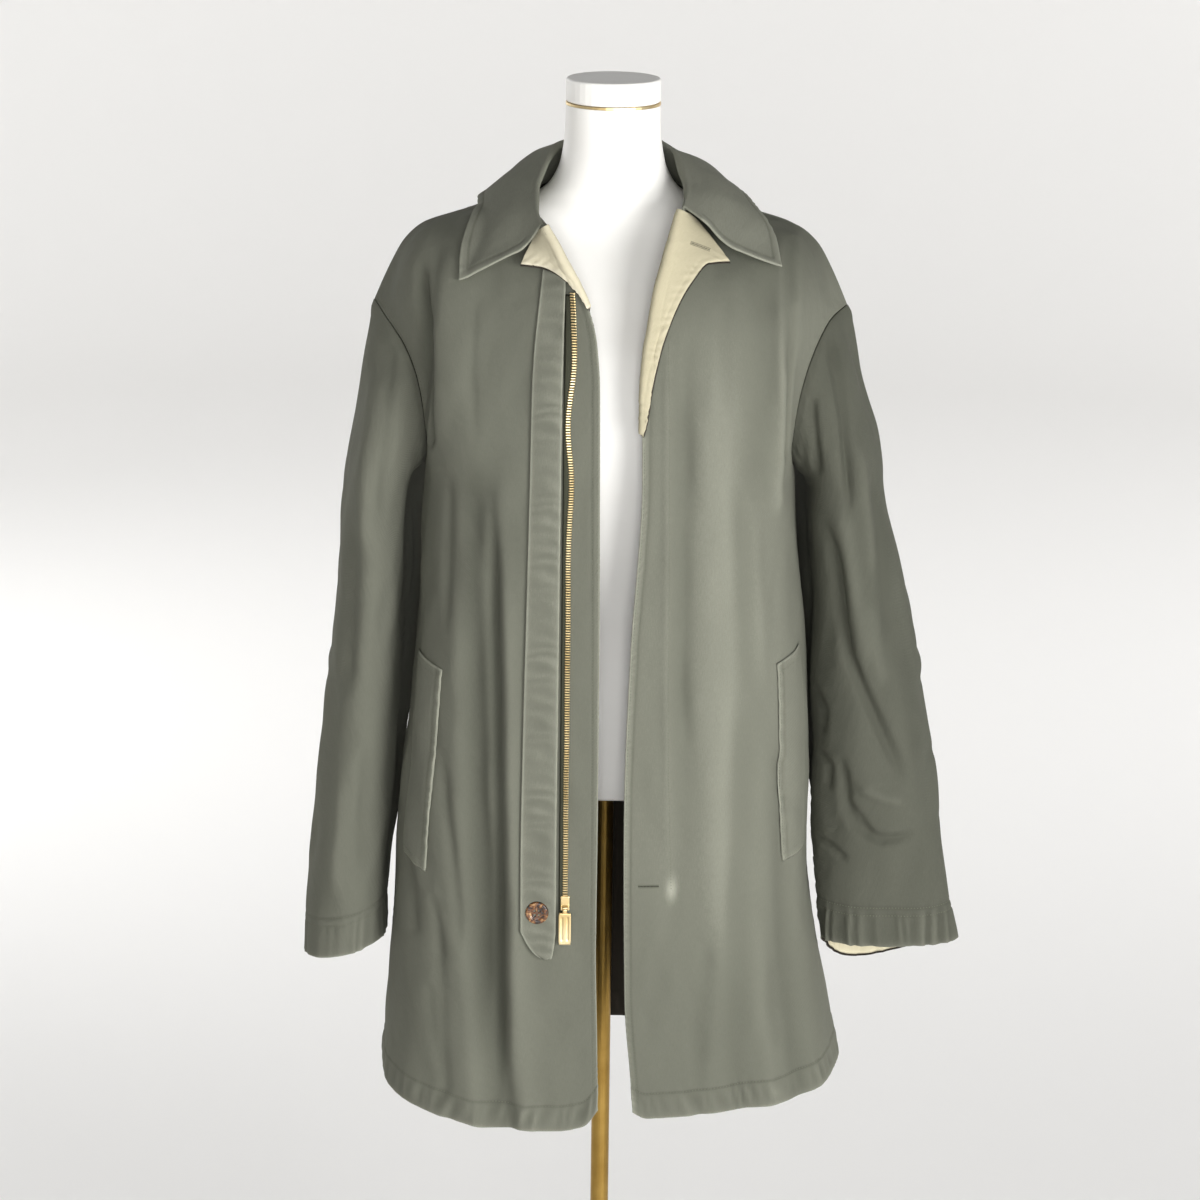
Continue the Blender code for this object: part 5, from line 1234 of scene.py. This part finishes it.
for side in (LEFT, RIGHT):
    rows, surface = WELT[side], front_surfaces[side]
    count_up, count_across = 86, 20
    under = np.empty((count_up, count_across, 3))
    for i, z in enumerate(np.linspace(rows["z"][0], rows["z"][-1], count_up)):
        x, width = columns(rows, "x width", z)
        path = body_section(side, "front", z, np.linspace(0, 1, 121))
        run = run_of(path)
        begin = np.interp(abs(x), abs(path[:, 0]), run)
        for j, share in enumerate(np.linspace(0, 1, count_across)):
            at = begin + width * share
            place = (np.interp(at, run, path[:, 0]), np.interp(at, run, path[:, 1]), z + WELT_SLANT * share)
            under[i, j] = np.array(surface.tree.find_nearest(Vector(place))[0])
    off_body = unit(under * (1, 1, 0))
    across, up = across_of(under), up_of(under)
    edge = np.minimum(np.minimum(up, up[-1:] - up), np.minimum(across, across[:, -1:] - across))
    ripples = puckers(up, across - 0.003, size=0.0005, length=0.0140, reach=0.008, seed=131 + side, lean=0.3)
    raised = LAID + WELT_THICK + ripples + groove(across - WELT_ROW, 0.0006)
    for from_end in (up - 0.006, up[-1:] - up - 0.004, up[-1:] - up - 0.0115):
        raised += groove(from_end, 0.0006)
    raised -= 0.0009 * smoothstep(1 - (across[:, -1:] - across) / 0.004)
    face = under + raised[..., None] * off_body
    normals = grid_normals(face, side)
    # The paler edges are wear; painted shade in the stitch groove and in the ripples' troughs, and painted
    # highlight on their crests
    wear_and_shade_values = rubbed(edge, 0.9, 0.0020) + groove(across - WELT_ROW, 0.25, 0.0012) + 160 * ripples
    name = f"welt_{WORDS[side]}"
    piece = cloth_piece(f"{name}_cloth", face, normals, (OLIVE_TWILL,), thick=WELT_THICK, wear_and_shade=wear_and_shade_values)
    sewn_in(piece, name)
    for value in (0.0025, WELT_ROW):
        sew(face, normals, across, value, part=np.s_[3:-3], upright=True)
    for value in (0.0035, 0.0095):
        sew(face, normals, up, value, part=np.s_[1:-1])
        sew(face[::-1], normals[::-1], (up[-1:] - up)[::-1], value, part=np.s_[1:-1])

# ---- Fly strip ----
# A strip of double twill that covers the zip when the coat is closed, sewn down the left front, with a
# rounded tab at its foot that hangs free and carries the button.

FLY = table(
    "z outer inner",
    (665, -83.2, -47.2),
    (740, -83.7, -47.4),
    (870, -82, -47.2),
    (1090, -77.8, -46.6),
    (1208, -76, -46.2),
    (1248, -74.5, -45.5),
    (1329, -66.5, -43.7),
)
FLY_THICK = 0.0016
TAB_TIP = (-0.0555, 0.6365)  # x and z
TAB_TIP_HALF = 0.0035  # half its width
TAB_STAND = 0.0030  # how far the tab's tip stands off the front
COLUMN_SHARES = np.array([0, 0.02, 0.05, *np.linspace(0.1, 0.9, 10), 0.95, 0.98, 1])
STRIP_FINE = 0.0026  # spacing of the rows of the fly strip and of the zip's tape

heights, lefts, rights = [], [], []
foot, outer_foot, inner_foot = (FLY[name][0] for name in ("z", "outer", "inner"))
for share in np.linspace(0, 1, 16)[:-1] ** 1.6:
    swell = math.sqrt(share)
    heights.append(TAB_TIP[1] + (foot - TAB_TIP[1]) * share)
    lefts.append(TAB_TIP[0] - TAB_TIP_HALF + (outer_foot - TAB_TIP[0] + TAB_TIP_HALF) * swell)
    rights.append(TAB_TIP[0] + TAB_TIP_HALF + (inner_foot - TAB_TIP[0] - TAB_TIP_HALF) * swell)
for z in np.arange(foot, FLY["z"][-1], STRIP_FINE):
    outer_x, inner_x = columns(FLY, "outer inner", z)
    heights.append(z)
    lefts.append(outer_x)
    rights.append(inner_x)
under = np.empty((len(heights), len(COLUMN_SHARES), 3))
surface = front_surfaces[LEFT]
for i, (z, left, right) in enumerate(zip(heights, lefts, rights)):
    for j, x in enumerate(left + (right - left) * COLUMN_SHARES):
        under[i, j] = surface.seen_from_front(x, z)[0]
across, up = across_of(under), up_of(under)
ladder = puckers(up, across - 0.020, size=0.0013, length=0.0140, reach=0.015, seed=141, lean=0.45)
raised = LAID + FLY_THICK + ladder * smoothstep(up / 0.05) + 0.0008 * smoothstep(across / across[:, -1:])
raised += groove(across - 0.0022, 0.0005) + groove(across[:, -1:] - across - 0.0030, 0.0006)
raised += TAB_STAND * smoothstep((0.040 - up) / 0.040)
face = under - np.stack([np.zeros_like(raised), raised, np.zeros_like(raised)], axis=-1)
normals = grid_normals(face, -1)
near_edge = np.minimum(across, across[:, -1:] - across)
# The paler edges are wear; painted highlight on the crests of the ladder ripples and painted shade in their
# troughs
wear_and_shade_values = rubbed(np.minimum(near_edge, up), 0.8, 0.0020) + 170 * np.clip(ladder, -0.0014, 0.0014)
fly_face = face
piece = cloth_piece("fly_strip_cloth", face, normals, (OLIVE_TWILL,), thick=FLY_THICK, wear_and_shade=wear_and_shade_values)
sewn_in(piece, "fly_strip")
sew(face, normals, across, 0.0022, part=np.s_[5:-1], upright=True)
sew(face, normals, across - across[:, -1:], -0.0030, part=np.s_[5:-1], upright=True)

# ---- Zip ----
# One half of an open-ended metal zip: a woven tape sewn along the fly, cast brass teeth clamped on its edge,
# and at its foot the slider, from which the pull hangs on a pin.

TAPE = (-0.0446, -0.0362)  # x of its left and right edges
TAPE_FOOT = 0.6840
TAPE_THICK = 0.0007
TEETH_FOOT = 0.7035
ZIP_TOP = 1.3080
TOOTH_PITCH = 0.0026
TOOTH = (0.0052, 0.0016, 0.0018)  # across, along and out
PULL = (0.0128, 0.0018, 0.0340)  # across, through and along
ZIP_WAVE = table(
    "z x",
    (1000, 0),
    (1050, -0.4),
    (1125, 1.8),
    (1180, -2.2),
    (1245, 3.6),
    (1308, 1.2),
)
PULL_NECK = 0.0050  # from the pin down to the plate
PIN = (-0.0383, -0.1653, 0.6910)  # the middle of the slider's pin
BARREL = (0.0018, 0.0050)  # radius and length
SHANK_THICK = 0.0014


def brass(name, colour, dull, roughness, grit):
    """Brass, cast and tumbled or drawn: a warm metal, duller in patches, with fine scratches along it."""
    material, tree, shader = new_material(name)
    place = node(tree, "ShaderNodeTexCoord", output="Object")
    stretched = node(tree, "ShaderNodeMapping", Vector=place, Scale=(grit, grit, grit * 0.06))
    scratches = node(tree, "ShaderNodeTexNoise", Vector=stretched, Scale=1.0, Detail=3.0)
    stain = node(tree, "ShaderNodeTexNoise", Vector=place, Scale=38.0, Detail=4.0)
    feed(shader, Metallic=1.0, Base_Color=ramp(tree, stain, (0.3, dull), (0.7, colour)))
    feed(shader, Roughness=scaled(tree, scratches, 0.12, roughness - 0.06))
    feed(shader, Normal=node(tree, "ShaderNodeBump", Strength=0.05, Distance=0.0002, Height=scratches))
    return material


# Pale warm metal with soft glints, and a dark, dull tape behind it
ZIP_BRASS = brass("brass, cast and tumbled", "#efdcb0", "#d6bb84", 0.36, 1400)
ZIP_TAPE = cotton_twill("zip tape, woven cotton", "#25261e", "#3b3c31", "#5a5b4c", cloud=0.06)


def solid(name, points, faces, material, smooth=False):
    """A piece of points and faces in one material."""
    mesh = bpy.data.meshes.new(name)
    mesh.from_pydata(np.asarray(points).tolist(), [], [[int(corner) for corner in face] for face in faces])
    mesh.materials.append(material)
    if smooth:
        mesh.shade_smooth()
    return placed(name, mesh)


heights = np.arange(TAPE_FOOT, ZIP_TOP, STRIP_FINE)
under = np.array([
    [surface.seen_from_front(x, z)[0] for x in np.linspace(TAPE[0], TAPE[1] + wave, 7)]
    for z, wave in zip(heights, column(ZIP_WAVE, "x", heights))
])
face = under - (0, LAID + TAPE_THICK, 0)
piece = cloth_piece("zip_tape_cloth", face, grid_normals(face, -1), (ZIP_TAPE,), thick=TAPE_THICK)
sewn_in(piece, "zip_tape")

# The teeth: blocks on the tape's edge, each drawn in to a ridge
corners = np.array([(-1, -1), (1, -1), (1, 1), (-1, 1)]) / 2
points, faces = [], []
for z in np.arange(TEETH_FOOT, ZIP_TOP, TOOTH_PITCH):
    at, out = surface.seen_from_front(PIN[0] + float(column(ZIP_WAVE, "x", z)), z)
    out = unit(out + (0, -0.4, 0))
    side_way = unit(np.cross((0, 0, 1.0), -out))
    along = np.cross(-out, side_way)
    base = at + (LAID + TAPE_THICK) * out
    first = len(points)
    for rise, wide, tall in ((0.0, 1.0, 1.0), (0.65, 1.0, 0.92), (1.0, 0.72, 0.5)):
        for u, w in corners:
            over = side_way * u * wide * TOOTH[0] + along * w * tall * TOOTH[1]
            points.append(base + out * rise * TOOTH[2] + over)
    faces += grid_faces(3, 4, True, first).tolist()
    faces.append(range(first + 8, first + 12))
teeth = solid("zip_teeth_cast", points, faces, ZIP_BRASS)
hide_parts("zip_teeth")
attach(teeth, "coat_and_form")

# The pull: a plate with two long hollows, hung from a barrel on the slider's pin
wide, thick, tall = PULL
us, vs = np.linspace(-0.5, 0.5, 33), np.linspace(0, 1, 49)
plate = np.empty((len(vs), len(us), 3))
for i, v in enumerate(vs):
    narrow = 1 - 0.10 * float(smoothstep(1 - v / 0.12)) - 0.10 * float(smoothstep((v - 0.9) / 0.1))
    z = PIN[2] - PULL_NECK - tall + tall * v
    for j, u in enumerate(us):
        hollow = 0.0005 * math.exp(-(((abs(u) - 0.22) / 0.085) ** 4)) * float(smoothstep((v - 0.12) / 0.05))
        hollow *= float(smoothstep((0.88 - v) / 0.05))
        plate[i, j] = (PIN[0] + u * wide * narrow, PIN[1] - thick / 2 + hollow, z)
forwards = np.broadcast_to((0.0, -1.0, 0.0), plate.shape)
pull = cloth_piece("zip_pull_cast", plate, forwards, (ZIP_BRASS,), thick=thick)
turn = np.linspace(0, 2 * math.pi, 25)[:-1]
radius, length = BARREL
barrel = np.array([
    [(x, PIN[1] - radius * math.sin(a), PIN[2] + radius * math.cos(a)) for a in turn]
    for x in PIN[0] + np.linspace(-length / 2, length / 2, 9)
])
off_pin = unit(barrel - np.array(PIN) * (0, 1, 1) - barrel * (1, 0, 0))
eye = cloth_piece("zip_pull_eye", barrel, off_pin, (ZIP_BRASS,), thick=0.0008, ring=True)
neck = np.array([
    [(PIN[0] + x, PIN[1] - SHANK_THICK / 2, z) for x in np.linspace(-length / 2, length / 2, 7)]
    for z in np.linspace(PIN[2] - PULL_NECK - 0.001, PIN[2] - 0.0012, 7)
])
forwards = np.broadcast_to((0.0, -1.0, 0.0), neck.shape)
shank = cloth_piece("zip_pull_shank", neck, forwards, (ZIP_BRASS,), thick=SHANK_THICK)
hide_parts("zip_pull")
for piece in (pull, eye, shank):
    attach(piece, "pull_tab")
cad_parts["zip_slider"].material_slots[0].material = ZIP_BRASS

# ---- Button ----
# A four-hole button, turned from mottled brown resin and polished, sewn to the tab of the fly strip. Its rim
# stands up round a hollow middle.

# Dark brown with amber clouds and a hard, bright gloss
resin, tree, shader = new_material("polyester resin, turned and polished")
feed(shader, Roughness=0.22, IOR=1.55, Coat_Weight=0.4, Coat_Roughness=0.12)
place = node(tree, "ShaderNodeTexCoord", output="Object")
clouds = {"Scale": 150.0, "Detail": 4.0, "Roughness": 0.6, "Distortion": 1.2}
mottle = node(tree, "ShaderNodeTexNoise", Vector=place, **clouds)
feed(shader, Base_Color=ramp(tree, mottle, (0.40, "#26160c"), (0.70, "#c49a62"), (0.54, "#6b4222")))
feed(shader, Normal=node(tree, "ShaderNodeBump", Strength=0.05, Distance=0.0002, Height=mottle))

BUTTON = (-0.0663, 0.6850)  # x and z of its middle
BUTTON_RADIUS = 0.0118
BUTTON_THICK = 0.0034
HOLE_RADIUS = 0.0012
HOLE_SPREAD = 0.0021  # how far each hole is from the middle, both ways
HOLE_DEPTH = 0.0019

radii = BUTTON_RADIUS * np.sin(np.linspace(0, math.pi / 2, 44)) ** 0.8
turns = 2 * math.pi * np.arange(112) / 112
out = radii[:, None] * np.cos(turns)
rise = radii[:, None] * np.sin(turns)
share = radii[:, None] / BUTTON_RADIUS * np.ones_like(out)
height = BUTTON_THICK * (1 - 0.30 * (1 - smoothstep((share - 0.52) / 0.16)))
height *= np.sqrt(np.clip(1 - ((share - 0.86) / 0.14).clip(0) ** 2, 0.0, 1))
for sx, sz in ((-1, -1), (-1, 1), (1, -1), (1, 1)):
    away = np.hypot(out - sx * HOLE_SPREAD, rise - sz * HOLE_SPREAD)
    height -= HOLE_DEPTH * smoothstep((HOLE_RADIUS + 0.0002 - away) / 0.0004)
seat = Surface(fly_face).seen_from_front(*BUTTON)[0]
points = np.stack([BUTTON[0] + out, seat[1] - 0.0006 - height, BUTTON[1] + rise], axis=-1)
faces = grid_faces(*out.shape, True)[:, ::-1]
turned = solid("button_turned", points.reshape(-1, 3), faces, resin, smooth=True)
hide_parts("button")
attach(turned, "coat_and_form")

# ---- Stitches ----
# Topstitching in a slightly paler cotton thread, 3.2 mm to the stitch: every stitch is a short length of
# thread that sinks into the cloth at both ends. The buttonholes are bound in the same thread.

STITCH = (0.0032, 0.0025, 0.00042, 0.00040)  # pitch, length, half its width, height
PLACKET = (0.0552, 1.2891, 0.0588, 1.1883, 0.0608, 1.0071, 0.0625, 0.8425, 0.0677, 0.7084)  # places (x, z)
SLIT_HALF = 0.0011  # from a buttonhole's slit to the binding on each side

# Thread a shade paler than the cloth, and nearly black thread that paints the shade in the slit of a
# buttonhole
THREAD = cotton_twill("cotton sewing thread, spun and dyed", "#4c4e42", "#66685a", "#8f917f", cloud=0.05)
SLIT_SHADE_THREAD = cotton_twill("cotton sewing thread, dark, painted as slit shade", "#1c1c16", "#28281f", "#3a3a30", cloud=0.05)


def along_line(at, run, values):
    return np.stack([np.interp(at, run, values[:, k]) for k in range(3)], axis=-1)


def stitched(name, lines, material, stitch=STITCH):
    """Rows of stitches along lines of points and directions, as one mesh."""
    pitch, length, half, height = stitch
    points, faces = [], []
    for line, directions in lines:
        run = run_of(line)
        count = int(run[-1] / pitch)
        at = (np.arange(count) + 0.5) * run[-1] / max(count, 1)
        ends = [along_line(at + shift * length / 2, run, line) for shift in (-1, 1)]
        out = unit(along_line(at, run, directions))
        middle = (ends[0] + ends[1]) / 2
        along = unit(ends[1] - ends[0])
        beside = np.cross(out, along)
        corners = [ends[0] - 0.6 * height * out, ends[1] - 0.6 * height * out]
        for spin in range(4):
            angle = math.pi / 2 * spin
            corners.append(middle + half * math.cos(angle) * beside + height * (0.4 + math.sin(angle)) * out)
        for stitch_points in np.stack(corners, axis=1):
            first = len(points)
            points.extend(stitch_points)
            for spin in range(4):
                a, b = first + 2 + spin, first + 2 + (spin + 1) % 4
                faces += [(first, a, b), (first + 1, b, a)]
    made = solid(name, points, faces, material, smooth=True)
    lay_flat(made.data, np.array(points)[:, [0, 2]])
    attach(made, "coat_and_form")


def traced(surface, *path, count=200):
    """Points and directions on a front, along places (x, z) as seen from the front."""
    path = spread(np.array(path).reshape(-1, 2), np.linspace(0, 1, count))
    found = [surface.seen_from_front(x, z) for x, z in path.tolist()]
    return np.array([point for point, _ in found]), np.array([out for _, out in found])


stitch_lines.append(traced(front_surfaces[RIGHT], *PLACKET, count=400))
stitched("topstitching", stitch_lines, THREAD)

bound, slits = [], []
for surface, (x0, z0, x1, z1) in (
    (front_surfaces[RIGHT], (0.0345, 0.7130, 0.0555, 0.7130)),
    (Surface(facings[RIGHT]), (0.0765, 1.3545, 0.0960, 1.3465)),
):
    dx, dz = unit(np.array([z0 - z1, x1 - x0]))
    for shift in (-SLIT_HALF, SLIT_HALF):
        moved = np.array([x0, z0, x1, z1]) + shift * np.array([dx, dz, dx, dz])
        bound.append(traced(surface, *moved, count=30))
    slits.append(traced(surface, x0, z0, x1, z1, count=30))
stitched("buttonhole_binding", bound, THREAD, (0.0009, 0.0008, 0.0008, 0.0004))
stitched("buttonhole_slits", slits, SLIT_SHADE_THREAD, (0.0014, 0.0018, 0.0006, 0.0004))

# ---- Form ----
# A limbless dress form, moulded in one shell and painted white, with a turned cap and a thin brass ring on
# its neck. It stands on a brass tube in a round base.

FORM = table(
    "z wide deep y squareness",
    (780, 142, 86, -4, 2.3),
    (784, 148, 92, -4, 2.3),
    (820, 156, 100, -4, 2.3),
    (880, 150, 98, -5, 2.2),
    (960, 136, 90, -6, 2.2),
    (1060, 147, 100, -6, 2.2),
    (1150, 160, 108, -5, 2.3),
    (1230, 168, 104, 0, 2.3),
    (1290, 176, 89, 6, 2.2),
    (1325, 180, 72, 7, 2.1),
    (1344, 173, 60, 6, 2),
    (1355, 160, 54, 5, 2),
    (1365, 139, 50, 4, 2),
    (1373.7, 108.5, 49, 5, 2),
    (1382.8, 79, 48, 5, 2),
    (1398, 61, 49, 2, 2),
    (1420, 51.5, 49, 0, 2),
    (1450, 47.5, 47, 0, 2),
    (1474, 47, 47, 0, 2),
)
FORM_FOOT, FOOT_ROUND, FORM_TOP = 0.780, 0.7845, 1.474  # heights; the foot is drawn finer up to the second
SEAM_DEPTH = 0.0003  # the mould's seam down the middle of the front


def painted(name, colour, shade, roughness):
    """Moulded shell under satin paint: even and pale, with the faint waviness of a sprayed coat."""
    material, tree, shader = new_material(name)
    place = node(tree, "ShaderNodeTexCoord", output="Object")
    broad = node(tree, "ShaderNodeTexNoise", Vector=place, Scale=9.0, Detail=3.0)
    spray = node(tree, "ShaderNodeTexNoise", Vector=place, Scale=420.0, Detail=2.0)
    feed(shader, IOR=1.48, Base_Color=ramp(tree, broad, (0.3, shade), (0.7, colour)))
    feed(shader, Roughness=scaled(tree, spray, 0.10, roughness - 0.05))
    feed(shader, Normal=node(tree, "ShaderNodeBump", Strength=0.06, Distance=0.0004, Height=spray))
    return material


# Clean white with a satin sheen
WHITE_PAINT = painted("moulded shell, painted white", "#f6f5f1", "#f1efea", 0.48)
AROUND = 128  # points in each ring

angles = 2 * math.pi * np.arange(AROUND) / AROUND
cos, sin = np.cos(angles), np.sin(angles)
foot, shell = np.linspace(FORM_FOOT, FOOT_ROUND, 6), np.linspace(FOOT_ROUND, FORM_TOP, 180)
heights = np.concatenate([foot[:-1], shell])
points = [(0.0, -0.004, FORM_FOOT)]
for z in heights:
    wide, deep, y, squareness = columns(FORM, "wide deep y squareness", z)
    inset = SEAM_DEPTH * np.exp(-((wide * cos / 0.0012) ** 2)) * (sin < 0)
    xs = wide * np.sign(cos) * abs(cos) ** (2 / squareness)
    ys = y + (deep - inset) * np.sign(sin) * abs(sin) ** (2 / squareness)
    points += [(x, depth, z) for x, depth in zip(xs, ys)]
points.append((0.0, 0.0, FORM_TOP))
last = len(points) - 1
faces = (grid_faces(len(heights), AROUND, True) + 1).tolist()
faces += [(0, 1 + (j + 1) % AROUND, 1 + j) for j in range(AROUND)]
faces += [(last, last - AROUND + j, last - AROUND + (j + 1) % AROUND) for j in range(AROUND)]
form = solid("form_shell", points, faces, WHITE_PAINT, smooth=True)
form.data.set_sharp_from_angle(angle=math.radians(50))
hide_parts("form_torso")
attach(form, "coat_and_form")

# Darker, yellower metal with long soft reflections up the tube
STAND_BRASS = brass("brass tube, drawn and lacquered", "#b3924f", "#a07f40", 0.34, 300)
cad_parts["form_neck_cap"].material_slots[0].material = WHITE_PAINT
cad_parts["form_neck_ring"].material_slots[0].material = ZIP_BRASS
for name in ("pole", "base"):
    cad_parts[name].material_slots[0].material = STAND_BRASS

# ---- Studio ----
# A round sweep of pale paper, whose floor curves up into a wall all round, so that every side has a plain
# ground. The lamps are large and soft and hidden from the camera, and the key stands to the front's right.

FLOOR, WALL, WALL_TOP = 5.6, 7.4, 5.0  # radius of the flat floor, radius of the wall, and its height
STEPS = 96  # all round

rise = np.linspace(0, math.pi / 2, 15)
curve = np.stack([FLOOR + (WALL - FLOOR) * np.sin(rise), (WALL - FLOOR) * (1 - np.cos(rise))], axis=1)
profile = np.array([(0.001, 0.0), (2.8, 0.0), *curve, (WALL, WALL_TOP)])
turn = 2 * math.pi * np.arange(STEPS) / STEPS
rings = np.stack([np.outer(profile[:, 0], np.cos(turn)), np.outer(profile[:, 0], np.sin(turn))], axis=-1)
rings = np.concatenate([rings, np.repeat(profile[:, 1:, None], STEPS, axis=1)], axis=2)
faces = grid_faces(len(profile), STEPS, True).tolist() + [range(STEPS)]
paper, tree, shader = new_material("studio paper, pale and matt")
feed(shader, Base_Color=linear("#efeeec"), Roughness=1.0)
solid("studio", rings.reshape(-1, 3), faces, paper, smooth=True)

for name, power, size, where, aim in (
    ("key", 92, 1.8, (1.9, -2.6, 1.25), (0, 0, 1.0)),
    ("fill", 58, 1.4, (0.1, -4.3, 1.5), (0, 0, 0.9)),
    ("wall right", 95, 2.4, (3.2, 2.2, 3.1), (1.4, 6.6, 0.2)),
    ("wall left", 95, 2.4, (-3.2, 2.2, 3.1), (-1.4, 6.6, 0.2)),
    ("back", 34, 1.6, (-2.4, 3.0, 1.9), (0, 0, 0.9)),
    ("wall behind, right", 60, 2.4, (3.2, -4.6, 3.0), (3.0, -7.4, 0.6)),
    ("wall behind, left", 60, 2.4, (-3.2, -4.6, 3.0), (-3.0, -7.4, 0.6)),
):
    lamp = bpy.data.lights.new(name, "AREA")
    lamp.energy = power
    lamp.shape = "DISK"
    lamp.size = size
    shown = placed(name, lamp)
    shown.location = where
    shown.visible_camera = False
    shown.rotation_euler = (Vector(aim) - Vector(where)).to_track_quat("-Z", "Y").to_euler()
world = bpy.data.worlds.new("soft daylight")
world.use_nodes = True
feed(world.node_tree.nodes["Background"].inputs, Color=linear("#f4f5f8"), Strength=0.22)
bpy.context.scene.world = world
bpy.context.scene.view_settings.view_transform = "Standard"

# The photo's camera: a long lens, looking down on the coat and a little turned on its own axis
LENS = 126.42  # mm, on a 36 mm sensor
LOOKS_DOWN = 15  # degrees
ROLL = 0.72
STANDS_AT = (-0.0071, -4.153481, 2.078922)

lens = bpy.data.cameras.new("camera")
lens.lens = LENS
lens.sensor_width = 36.0
lens.sensor_fit = "HORIZONTAL"
camera = placed("camera", lens)
look = Matrix.Rotation(math.radians(90 - LOOKS_DOWN), 4, "X") @ Matrix.Rotation(math.radians(ROLL), 4, "Z")
camera.matrix_world = Matrix.Translation(STANDS_AT) @ look
bpy.context.scene.camera = camera
